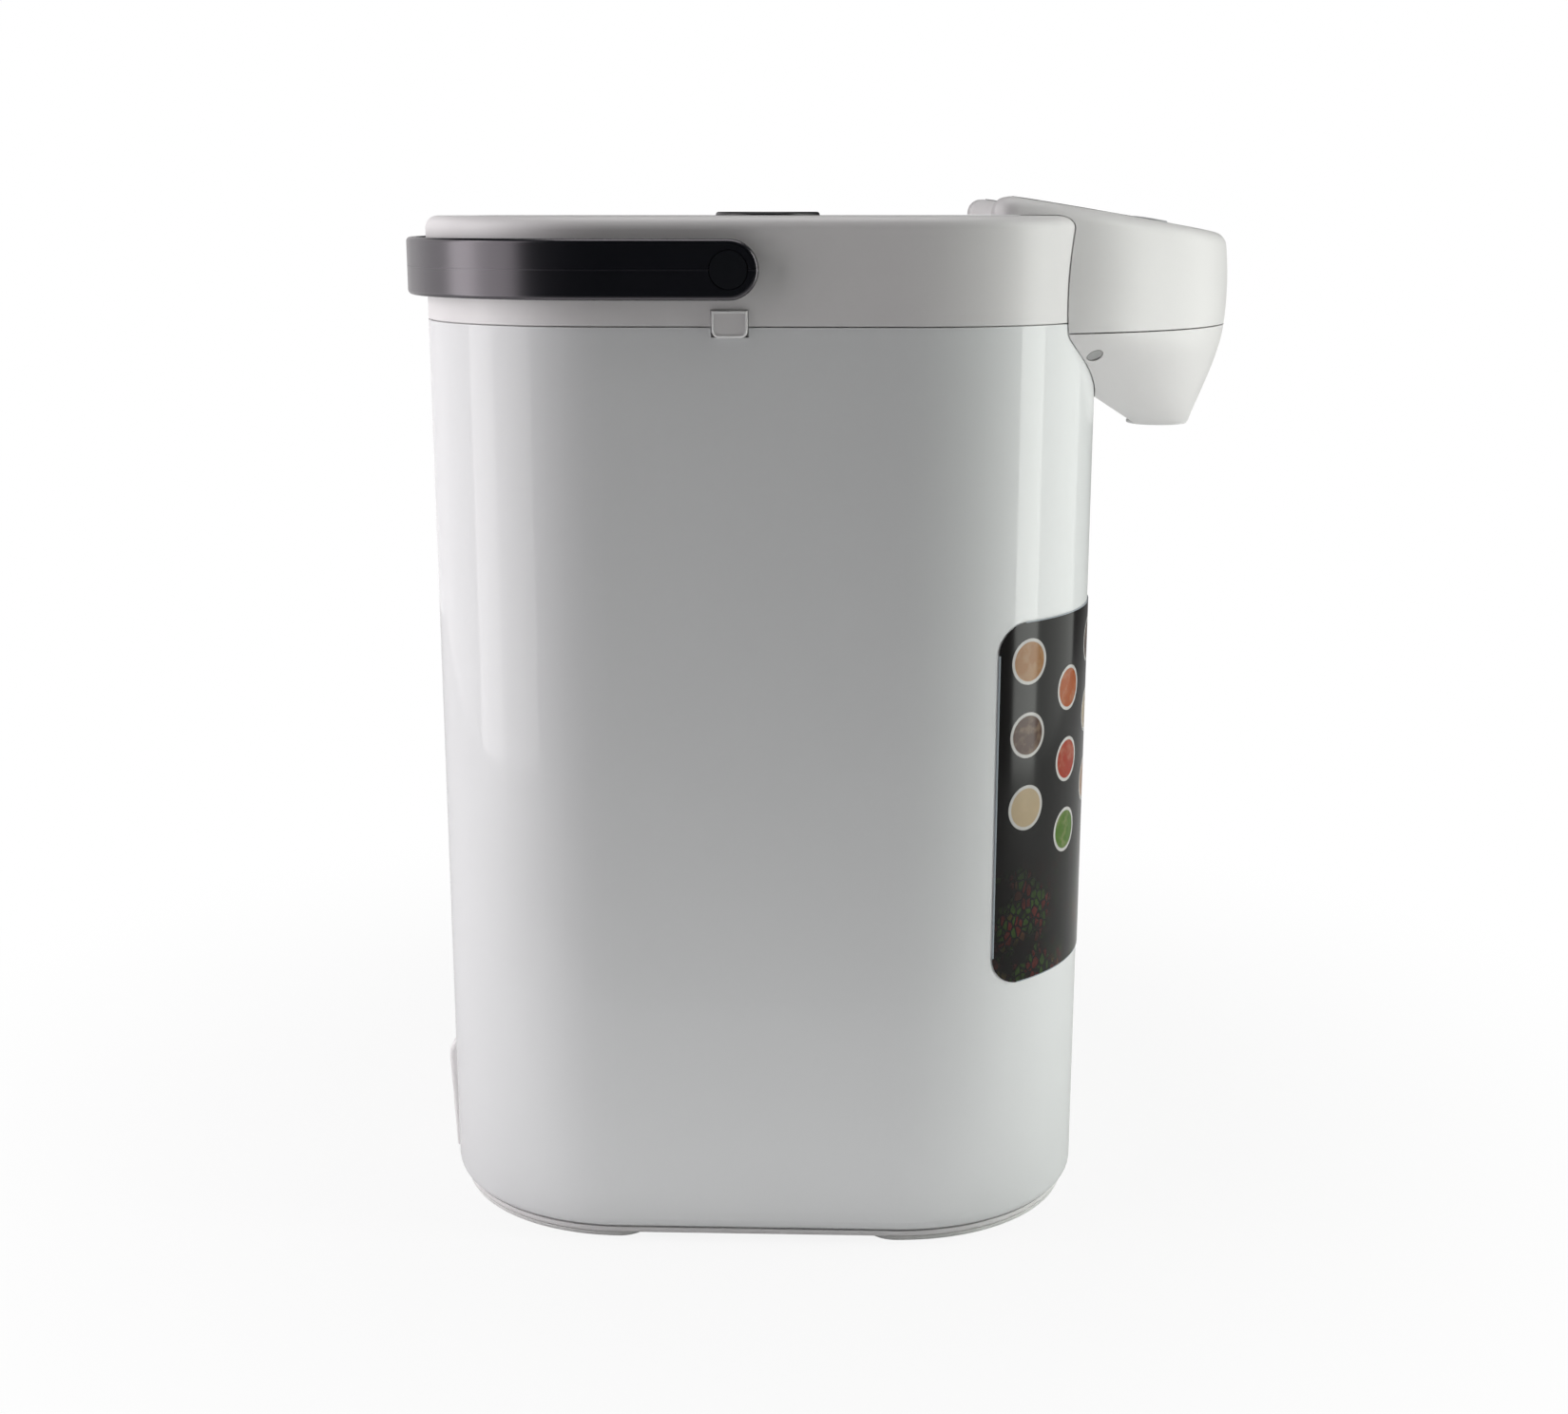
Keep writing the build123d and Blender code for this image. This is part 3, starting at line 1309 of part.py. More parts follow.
bellows_bottom_z = well_bottom_z + well_wall
fold_height = (knob_travel + bellows_rest) / (2 * bellows_folds)
bellows_outside = [
    (bellows_outer_radius if step % 2 else bellows_inner_radius, bellows_bottom_z + step * fold_height)
    for step in range(2 * bellows_folds + 1)
]
bellows_inside = [(radius - bellows_wall, z) for radius, z in reversed(bellows_outside)]
with BuildPart() as pump_bellows:
    with BuildSketch(Plane.XZ):
        with BuildLine():
            Polyline(*bellows_outside, *bellows_inside, close=True)
        make_face()
    revolve(axis=Axis.Z)
pump_bellows.part.label = "pump_bellows"
export_step(pump_bellows.part, "parts/pump_bellows.step")

spring_bottom_z = bellows_bottom_z + spring_wire_radius
spring_height = pusher_z - bellows_bottom_z - 2 * spring_wire_radius - fit_gap
spring_path = Helix(pitch=spring_height / spring_turns, height=spring_height, radius=spring_radius)
with BuildPart() as pump_spring:
    with BuildLine():
        add(spring_path.moved(Location((0, 0, spring_bottom_z))))
    with BuildSketch(Plane((spring_radius, 0, spring_bottom_z), z_dir=spring_path % 0)):
        RegularPolygon(spring_wire_radius, 6)
    sweep(is_frenet=True)
pump_spring.part.label = "pump_spring"
export_step(pump_spring.part, "parts/pump_spring.step")

with BuildPart() as check_valve:
    with BuildSketch(level(well_bottom_z - valve_thickness)):
        Circle(valve_radius)
    extrude(amount=valve_thickness)
    fillet(check_valve.edges().group_by(Axis.Z)[0], valve_thickness / 3)
    with BuildSketch(level(well_bottom_z - valve_thickness)):
        Circle(valve_stem_radius)
    extrude(amount=valve_thickness + well_wall + 2 * fit_gap)
    with BuildSketch(level(well_bottom_z + well_wall)):
        Circle(valve_stem_radius + spring_wire_radius)
    extrude(amount=spring_wire_radius)
check_valve.part.label = "check_valve"
export_step(check_valve.part, "parts/check_valve.step")

# ---- Handle and its pivot pins --------------------------------------------------------------

handle_face_x = body_half + handle_gap + handle_thickness
with BuildPart() as handle:
    with BuildSketch(level(handle_z - handle_height / 2)):
        body_section(-handle_gap - handle_thickness)
        body_section(-handle_gap, mode=Mode.SUBTRACT)
    extrude(amount=handle_height)
    # Keep the half behind the pivots, with round ends
    with BuildSketch(side_plane(-body_width)):
        with Locations((handle_y, handle_z)):
            Circle(handle_height / 2)
        with Locations((handle_y + body_half, handle_z)):
            Rectangle(body_width, handle_height)
    extrude(amount=2 * body_width, mode=Mode.INTERSECT)
    fillet(handle.edges().filter_by(Plane.XY), handle_round)
    for side in (-1, 1):
        with BuildSketch(side_plane(side * (handle_face_x + cut_reach))):
            with Locations((handle_y, handle_z)):
                Circle(pivot_shank_radius + running_gap)
        extrude(amount=-side * (handle_thickness + 2 * cut_reach), mode=Mode.SUBTRACT)
        with BuildSketch(side_plane(side * (handle_face_x + cut_reach))):
            with Locations((handle_y, handle_z)):
                Circle(pivot_head_radius + fit_gap)
        extrude(amount=-side * (cut_reach + pivot_head_thickness + fit_gap), mode=Mode.SUBTRACT)
handle.part.label = "handle"
export_step(handle.part, "parts/handle.step")

for pin_name, side in {"handle_pin_left": -1, "handle_pin_right": 1}.items():
    with BuildPart() as handle_pin:
        with BuildSketch(side_plane(side * handle_face_x)):
            with Locations((handle_y, handle_z)):
                Circle(pivot_head_radius)
        extrude(amount=-side * pivot_head_thickness)
        with BuildSketch(side_plane(side * (body_half - collar_wall - pivot_boss_depth))):
            with Locations((handle_y, handle_z)):
                Circle(pivot_shank_radius)
        extrude(amount=side * (handle_face_x - body_half + collar_wall + pivot_boss_depth - running_gap))
        # Washer face that keeps the handle off the collar
        with BuildSketch(side_plane(side * body_half)):
            with Locations((handle_y, handle_z)):
                Circle(pivot_head_radius)
        extrude(amount=side * (handle_gap - fit_gap))
    handle_pin.part.label = pin_name
    export_step(handle_pin.part, f"parts/{pin_name}.step")
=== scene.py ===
"""Dresses an electric thermo pot: its finishes, labels and small trim, and a studio round it."""

import math

import bpy
from bpy.props import FloatProperty, FloatVectorProperty, IntProperty, PointerProperty
from mathutils import Matrix, Vector


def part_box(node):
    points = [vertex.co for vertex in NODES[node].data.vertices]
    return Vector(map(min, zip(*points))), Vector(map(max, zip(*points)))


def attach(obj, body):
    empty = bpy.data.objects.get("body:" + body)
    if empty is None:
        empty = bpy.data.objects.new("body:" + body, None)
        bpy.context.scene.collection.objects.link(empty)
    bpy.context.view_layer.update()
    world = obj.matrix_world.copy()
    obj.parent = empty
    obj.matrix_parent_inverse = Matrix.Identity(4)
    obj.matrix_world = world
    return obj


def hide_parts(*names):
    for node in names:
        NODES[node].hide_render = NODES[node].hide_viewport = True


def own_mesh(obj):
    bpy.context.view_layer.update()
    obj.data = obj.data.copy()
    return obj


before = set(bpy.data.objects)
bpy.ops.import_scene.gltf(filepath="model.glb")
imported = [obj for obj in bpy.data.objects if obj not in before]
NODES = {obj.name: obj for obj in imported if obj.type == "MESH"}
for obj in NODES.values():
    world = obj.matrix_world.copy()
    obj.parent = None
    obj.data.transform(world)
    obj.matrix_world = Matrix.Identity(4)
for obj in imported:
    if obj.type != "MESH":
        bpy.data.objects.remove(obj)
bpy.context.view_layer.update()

bl_info = {
    "name": "Thermo Pot Dresser",
    "version": (1, 0, 0),
    "blender": (4, 5, 0),
    "location": "View3D > Sidebar > Thermo Pot",
    "description": "Gives an electric thermo pot its finishes, labels and trim, in a plain studio",
    "category": "Object",
}

MM = 0.001

WHITE = (1.0, 1.0, 1.0)

# The casing's plan: a rounded square, centred on the origin
BODY_HALF = 109 * MM
CORNER_RADIUS = 63 * MM
CORNER_CENTRE = BODY_HALF - CORNER_RADIUS

# The control panel's slope, and how far below a key's top a corner still belongs to it
SLOPE = math.radians(8.75)
FLAT_WITHIN = 0.02 * MM

# The level of the handle's pivots, where its two mould halves meet in a fine line
HANDLE_LEVEL = 316.6 * MM
MOULD_LINE = (0.05 * MM, 0.30 * MM)

# The front labels: their far end as a length along the wall from its middle, their levels,
# the radius of their corners, the width of their cut edge and its colour
LABEL_END = 113.2 * MM
LABEL_LOW = 88 * MM
LABEL_HIGH = 208 * MM
LABEL_CORNER = 10 * MM
LABEL_RIM = 0.35 * MM
FILM_EDGE = (0.34, 0.38, 0.42)

# The leaves printed at their foot: their size, their two colours, the size of their clumps,
# and the levels between which they fade out
LEAF_SIZE = 2.2 * MM
LEAF_GREEN = (0.026, 0.052, 0.010)
LEAF_RED = (0.070, 0.012, 0.010)
CLUMP_SIZE = 16 * MM
LEAVES_FADE = (112 * MM, 134 * MM)

# The cups printed on them: staggered columns of round cups, each whole between these bounds
CUP_START = 2 * MM
CUP_PITCH = 22 * MM
CUP_LOW = 111 * MM
CUP_RISE = 24 * MM
CUP_RADIUS = 7.6 * MM
CUPS_INNER = 24 * MM
CUPS_LOWEST = 130 * MM
CUPS_HIGHEST = 200 * MM

# How far inside a cup's edge its drink fades out, and the width over which the edge is soft
DRINK_FADE = (1.4 * MM, 1.0 * MM)
CUP_EDGE = 0.3 * MM
CHINA = ((0.42, 0.41, 0.40), (0.62, 0.61, 0.59))
FROTH = (0.50, 0.38, 0.24)

# The drinks, each after the place from 0 to 1 at which it starts. The choice moves on by these
# steps from column to column, row to row and side to side, which keeps like drinks apart.
DRINK_STEPS = (0.14, 0.32, 0.5)
DRINKS = (
    (0.00, (0.32, 0.065, 0.004)),
    (0.17, (0.055, 0.018, 0.007)),
    (0.33, (0.06, 0.14, 0.008)),
    (0.50, (0.30, 0.14, 0.045)),
    (0.67, (0.30, 0.025, 0.006)),
    (0.83, (0.42, 0.33, 0.21)),
)

# The latch's pad lies below its raised back edge. Its ribs start before that edge.
LATCH_STEP = 2.2 * MM
RIB_START = 8 * MM
RIB_SIZE = (22 * MM, 0.9 * MM, 0.8 * MM)
RIB_ROUNDING = 0.25 * MM

# The level window's hidden flange, each side, and the marks on its face
WINDOW_FLANGE = 4 * MM
MARK_START = 20 * MM
MARK_MARGIN = 1 * MM
MARK_RELIEF = 0.2 * MM
MARK_ROUNDING = 0.05 * MM
END_MARK_STRETCH = 1.5

# How near the corners of the bellows and the spring must lie to be merged into one
MERGE_WITHIN = 0.001 * MM

# The bead round the collar's clips, which draws a bright outline along their edges: partly its
# gloss catching the lamps, partly a painted highlight in its white, lighter than the mouldings
BEAD_WIDTH = 0.55 * MM
BEAD_INSET = 0.3 * MM
CLIP_CORNER = 2.0 * MM
BEAD_HIGHLIGHT_WHITE = (0.90, 0.90, 0.90)

# The signs on the keys, as shares of their size. The drop starts as a disc: its corners past
# each share of its radius are drawn together by a factor, and then moved on by another share.
RING_RADIUS = 0.44
RING_THICKNESS = 0.07
RING_FLATTENING = 0.6
DROP_RADIUS = 0.36
DROP_DEPTH = 0.10
DROP_NARROWINGS = ((0.25, 0.88), (0.5, 0.78), (0.75, 0.66), (0.92, 0.40))
DROP_LIFTS = ((0.5, 0.15), (0.8, 0.25), (1.3, 0.25))
WAVE_RADIUS = 0.36
WAVE_PITCH = 0.30
WAVE_THICKNESS = 0.06

# The colours of small and inner parts
BRASS = (0.75, 0.55, 0.25)
LENS_RED = (0.75, 0.12, 0.05)
FELT = (0.70, 0.69, 0.64)
DULL_METAL = (0.5, 0.5, 0.5)
GREY = (0.30, 0.30, 0.31)
PALE_GREY = (0.55, 0.55, 0.55)
GAUGE_CLEAR = (0.85, 0.9, 0.9)
WINDOW_CLEAR = (0.80, 0.88, 0.90)

# The camera: its place, its turn to the left and down, and its focal length in widths of the frame
CAMERA_PLACE = (-0.7437, -0.0308, 0.3328)
CAMERA_YAW = math.radians(1.94)
CAMERA_PITCH = math.radians(13.27)
SENSOR_WIDTH = 36.0
FOCAL_WIDTHS = 2201.9 / 1650

# The floor looks white in full light, and this share of that white close to the pot
FLOOR_DROP = 0.1 * MM
NEAR_WHITE = 0.88
NEAR_FADE = (0.12, 0.42)

# The upright lamps stand in two chains, from the front to the back, and these are their joints
LAMP_HEIGHT = 0.85
LEFT_CHAIN = ((-0.50, 0.54), (-0.25, 0.68), (-0.03, 0.74), (0.74, 0.84), (1.10, 0.35))
RIGHT_CHAIN = ((-0.50, -0.54), (-0.28, -0.66), (-0.085, -0.70), (0.50, -0.80))

# The lamp overhead and the one on the floor: their widths and lengths, and the middles of both
TOP_LAMP_SIZE = (0.9, 0.9)
TOP_LAMP_PLACE = (0.0, 0.0, 1.35)
FRONT_LAMP_SIZE = (0.20, 0.60)
FRONT_LAMP_PLACE = (-0.22, 0.0, 0.001)


# ---- Property groups ------------------------------------------------------------------


def colour(name, description, default):
    """A colour that the user can change."""
    return FloatVectorProperty(
        name=name,
        description=description,
        subtype="COLOR",
        size=3,
        min=0.0,
        max=1.0,
        default=default,
    )


def length(name, description, default):
    """A length that the user can change, in metres."""
    return FloatProperty(
        name=name, description=description, default=default, min=0.0, unit="LENGTH"
    )


def count(name, description, default, most):
    """A number of like pieces that the user can change."""
    return IntProperty(name=name, description=description, default=default, min=1, max=most)


def power(name, description, default):
    """A lamp's power that the user can change, in watts."""
    return FloatProperty(
        name=name, description=description, default=default, min=0.0, unit="POWER"
    )


class ThermoPotColours(bpy.types.PropertyGroup):
    """The colours of the pot's finishes."""

    casing: colour("Casing enamel", "Gloss enamel of the steel casing", (0.765, 0.775, 0.785))
    moulding: colour("White mouldings", "Collar, lid, head and base", (0.780, 0.764, 0.768))
    handle: colour("Handle", "Fine gloss handle", (0.006, 0.007, 0.010))
    knob: colour("Pump knob", "Knob in the middle of the lid", (0.02, 0.02, 0.022))
    panel: colour("Control panel", "Gloss insert on the head", (0.012, 0.012, 0.014))
    key: colour("Keys", "Keys on the control panel", (0.55, 0.56, 0.58))
    plug: colour("Screw plugs", "Caps over the head's screws", (0.40, 0.40, 0.40))
    label: colour("Label", "Ground of the front labels", (0.004, 0.0035, 0.0035))
    sign: colour("Signs", "Raised signs and level marks", (0.06, 0.06, 0.065))
    foot: colour("Feet", "Soft rubber feet", (0.80, 0.80, 0.79))
    steel: colour("Steel", "Brushed stainless steel", (0.60, 0.60, 0.59))
    silicone: colour("Silicone", "Seal, hoses and bellows", (0.62, 0.62, 0.60))
    board: colour("Circuit board", "Lacquered board", (0.012, 0.10, 0.035))


class ThermoPotSizes(bpy.types.PropertyGroup):
    """The sizes of what is added to the pot."""

    mark_width: length("Scale mark width", "Width of the window's level marks", 4.0 * MM)
    mark_height: length("Scale mark height", "Height of each level mark", 0.6 * MM)
    mark_pitch: length("Scale mark pitch", "Height from one level mark to the next", 27.0 * MM)
    mark_count: count("Scale marks", "Number of level marks", 6, 12)
    symbol_size: length("Key symbol size", "Width of the raised sign on each key", 5.0 * MM)
    rib_pitch: length("Latch rib pitch", "Distance between the latch's grip ribs", 2.2 * MM)
    rib_count: count("Latch ribs", "Number of grip ribs", 6, 8)


class ThermoPotStudio(bpy.types.PropertyGroup):
    """The light and the floor."""

    left_power: power("Left lamp", "Power of the large lamp on the left", 2.2)
    left_edge_power: power("Left edge lamp", "Power of the narrow lamp before it", 2.2)
    left_fore_power: power("Left fore lamp", "Power of the foremost lamp on the left", 1.5)
    back_power: power("Back lamp", "Power of the lamp behind on the left", 1.4)
    right_power: power("Right lamp", "Power of the large lamp on the right", 2.1)
    right_edge_power: power("Right edge lamp", "Power of the narrow lamp before it", 2.9)
    right_fore_power: power("Right fore lamp", "Power of the foremost lamp on the right", 0.10)
    top_power: power("Top lamp", "Power of the lamp overhead", 5.0)
    front_power: power("Front lamp", "Power of the lamp that lies on the floor in front", 0.16)
    ambient: FloatProperty(
        name="Ambient", description="Strength of the light from all round", default=0.0, min=0.0
    )
    left_tint: colour("Left tint", "Colour of the lamps on the left", (1.0, 0.972, 0.983))
    right_tint: colour("Right tint", "Colour of the lamps on the right", (0.972, 1.0, 0.955))
    floor_colour: colour("Floor", "Colour of the floor", (0.80, 0.80, 0.80))
    floor_size: length("Floor size", "Width of the floor", 16.0)


# ---- Finishes -------------------------------------------------------------------------


class Varying:
    """A value that varies over a surface. Arithmetic on it adds Math nodes to its finish."""

    def __init__(self, finish, socket):
        self.finish = finish
        self.socket = socket

    def math(self, operation, *others):
        values = (self, *others)
        return self.finish.node("ShaderNodeMath", dict(enumerate(values)), operation=operation)

    def __add__(self, other):
        return self.math("ADD", other)

    def __sub__(self, other):
        return self.math("SUBTRACT", other)

    def __mul__(self, other):
        return self.math("MULTIPLY", other)

    def __truediv__(self, other):
        return self.math("DIVIDE", other)

    def __rsub__(self, other):
        return self.finish.node("ShaderNodeMath", {0: other, 1: self}, operation="SUBTRACT")

    def __lt__(self, other):
        return self.math("LESS_THAN", other)

    def __gt__(self, other):
        return self.math("GREATER_THAN", other)

    def __pow__(self, other):
        return self.math("POWER", other)

    def __abs__(self):
        return self.math("ABSOLUTE")

    __radd__ = __add__
    __rmul__ = __mul__

    def at_least(self, other):
        return self.math("MAXIMUM", other)

    def at_most(self, other):
        return self.math("MINIMUM", other)

    def fade(self, start, end):
        """0 at start and before it, 1 at end and past it, smooth between."""
        return self.finish.node(
            "ShaderNodeMapRange",
            {0: self, 1: start, 2: end, 3: 0.0, 4: 1.0},
            interpolation_type="SMOOTHSTEP",
        )


class Finish:
    """A material under construction."""

    def __init__(self, name):
        self.material = bpy.data.materials.new(name)
        self.material.use_nodes = True
        self.tree = self.material.node_tree
        self.shader = self.tree.nodes["Principled BSDF"]
        self.place = None

    def node(self, kind, inputs=None, output=0, **settings):
        """Adds a node, its settings first and its inputs after, and returns one of its outputs."""
        made = self.tree.nodes.new(kind)
        for name, value in settings.items():
            if name == "stops":
                self.set_stops(made.color_ramp, value)
            elif name == "ramp_interpolation":
                made.color_ramp.interpolation = value
            else:
                setattr(made, name, value)
        for name, value in (inputs or {}).items():
            self.feed(made.inputs[name], value)
        return Varying(self, made.outputs[output])

    @staticmethod
    def set_stops(ramp, stops):
        while len(ramp.elements) < len(stops):
            ramp.elements.new(1.0)
        for element, (position, shade) in zip(ramp.elements, stops):
            element.position = position
            element.color = (*shade, 1.0)

    def feed(self, socket, value):
        if isinstance(value, Varying):
            self.tree.links.new(value.socket, socket)
        elif socket.type == "RGBA" and len(value) == 3:
            socket.default_value = (*value, 1.0)
        else:
            socket.default_value = value

    def set(self, **inputs):
        """Sets the shader's sockets: base_color feeds Base Color, and so on."""
        for name, value in inputs.items():
            socket = name.replace("_", " ").title().replace("Ior", "IOR")
            self.feed(self.shader.inputs[socket], value)

    def coordinates(self):
        """The place on the surface, in metres in the pot's frame."""
        if self.place is None:
            self.place = self.node("ShaderNodeTexCoord", output="Object")
        return self.place

    def axes(self):
        split = self.node("ShaderNodeSeparateXYZ", {0: self.coordinates()})
        outputs = split.socket.node.outputs
        return [Varying(self, outputs[axis]) for axis in range(3)]

    def stretched(self, scale):
        """The place, scaled unevenly along X, Y and Z."""
        return self.node("ShaderNodeMapping", {0: self.coordinates(), 3: scale})

    def noise(self, size, detail=2.0, rough=0.5, vector=None):
        """Smooth noise from 0 to 1, whose lumps are about size metres wide."""
        place = vector or self.coordinates()
        inputs = {"Vector": place, "Scale": 1.0 / size, "Detail": detail, "Roughness": rough}
        return self.node("ShaderNodeTexNoise", inputs)

    def mix(self, factor, first, second):
        """A colour between two others."""
        inputs = {0: factor, 6: first, 7: second}
        return self.node("ShaderNodeMix", inputs, output=2, data_type="RGBA")

    def bump(self, height, distance, strength=1.0):
        inputs = {"Height": height, "Distance": distance, "Strength": strength}
        self.feed(self.shader.inputs["Normal"], self.node("ShaderNodeBump", inputs))


def shade(base, factor):
    """A colour made darker or lighter by a factor."""
    return tuple(min(1.0, channel * factor) for channel in base)


def moulded(name, base, roughness, grain=0.25 * MM, relief=0.004 * MM, mottle=0.02, coat=0.0):
    """Moulded plastic: a fine grain, a slightly uneven sheen and barely uneven colour."""
    finish = Finish(name)
    clouds = finish.noise(30 * MM, detail=3.0)
    grains = finish.noise(grain, detail=1.0)
    finish.set(
        base_color=finish.mix(clouds, shade(base, 1 - mottle), shade(base, 1 + mottle)),
        roughness=roughness + (clouds - 0.5) * 0.08 + (grains - 0.5) * 0.05,
        coat_weight=coat,
    )
    finish.bump(grains, relief)
    return finish


def enamelled(name, base, roughness):
    """Gloss enamel on sheet steel, with the slight orange peel of a sprayed coat."""
    finish = Finish(name)
    peel = finish.noise(5 * MM, detail=1.0)
    clouds = finish.noise(60 * MM, detail=2.0)
    finish.set(
        base_color=finish.mix(clouds, shade(base, 0.99), shade(base, 1.01)),
        roughness=roughness + (clouds - 0.5) * 0.03,
        coat_weight=0.50,
        coat_roughness=0.04,
    )
    finish.bump(peel, 0.006 * MM)
    return finish


def brushed(name, base, roughness, along=(1.0, 1.0, 40.0), grain=4 * MM, metallic=1.0):
    """Brushed metal: fine lines along the turning, by a stretched noise."""
    finish = Finish(name)
    lines = finish.noise(grain, detail=4.0, rough=0.7, vector=finish.stretched(along))
    finish.set(
        base_color=finish.mix(lines, shade(base, 0.92), shade(base, 1.06)),
        metallic=metallic,
        roughness=roughness + (lines - 0.5) * 0.16,
    )
    finish.bump(lines, 0.01 * MM, 0.4)
    return finish


def soft(name, base, roughness=0.6):
    """Rubber or silicone: matt, with a fine dusty unevenness."""
    finish = Finish(name)
    dust = finish.noise(2 * MM, detail=4.0)
    finish.set(
        base_color=finish.mix(dust, shade(base, 0.92), shade(base, 1.08)),
        roughness=roughness + (dust - 0.5) * 0.12,
    )
    finish.bump(dust, 0.02 * MM)
    return finish


def clear(name, base, roughness, alpha):
    """Clear moulded plastic, lightly hazed."""
    finish = Finish(name)
    haze = finish.noise(8 * MM, detail=2.0)
    finish.set(
        base_color=finish.mix(haze, shade(base, 0.97), base),
        roughness=roughness + haze * 0.05,
        alpha=alpha + (haze - 0.5) * 0.04,
    )
    return finish


def dress(finish, *names):
    """Puts a finish on CAD nodes."""
    for name in names:
        mesh = NODES[name].data
        mesh.materials.clear()
        mesh.materials.append(finish.material)


# ---- Mesh helpers ---------------------------------------------------------------------


def deselect():
    if bpy.context.mode != "OBJECT":
        bpy.ops.object.mode_set(mode="OBJECT")
    bpy.ops.object.select_all(action="DESELECT")


def select(piece):
    """Leaves one piece selected and active, in object mode."""
    deselect()
    piece.select_set(True)
    bpy.context.view_layer.objects.active = piece


def named(name):
    """Names the object that an operator has just added."""
    made = bpy.context.object
    made.name = name
    made.data.name = name
    return made


def settle(piece):
    """Leaves a piece at the origin, unturned and unscaled, with its place in its mesh."""
    select(piece)
    bpy.ops.object.transform_apply(location=True, rotation=True, scale=True)
    return piece


def smooth(piece):
    """Shades a piece smooth, but for its sharp edges."""
    select(piece)
    bpy.ops.object.shade_smooth_by_angle(angle=math.radians(35))
    return piece


def applied(piece, modifier):
    """Applies a modifier to its piece."""
    select(piece)
    bpy.ops.object.modifier_apply(modifier=modifier.name)
    return piece


def bevelled(piece, width, segments=3):
    """Rounds a piece's edges by a bevel that is then applied."""
    bevel = piece.modifiers.new("round", "BEVEL")
    bevel.width = width
    bevel.segments = segments
    bevel.limit_method = "ANGLE"
    return applied(piece, bevel)


def pick(piece, test):
    """Goes into edit mode with those corners of a piece selected that pass a test."""
    select(piece)
    bpy.ops.object.mode_set(mode="EDIT")
    bpy.ops.mesh.select_mode(type="VERT")
    bpy.ops.mesh.select_all(action="DESELECT")
    bpy.ops.object.mode_set(mode="OBJECT")
    for vertex in piece.data.vertices:
        vertex.select = test(vertex.co)
    bpy.ops.object.mode_set(mode="EDIT")


def bar(name, middle, size, rounding):
    """A small bar with rounded edges."""
    deselect()
    bpy.ops.mesh.primitive_cube_add(size=1.0, location=middle, scale=size)
    return bevelled(settle(named(name)), rounding)


def joined(name, pieces):
    """One object out of several."""
    deselect()
    for piece in pieces:
        piece.select_set(True)
    bpy.context.view_layer.objects.active = pieces[0]
    if len(pieces) > 1:
        bpy.ops.object.join()
    return named(name)


def fitted(piece, body, finish):
    """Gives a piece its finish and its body."""
    piece.data.materials.clear()
    piece.data.materials.append(finish.material)
    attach(piece, body)
    return piece


# ---- Operators ------------------------------------------------------------------------


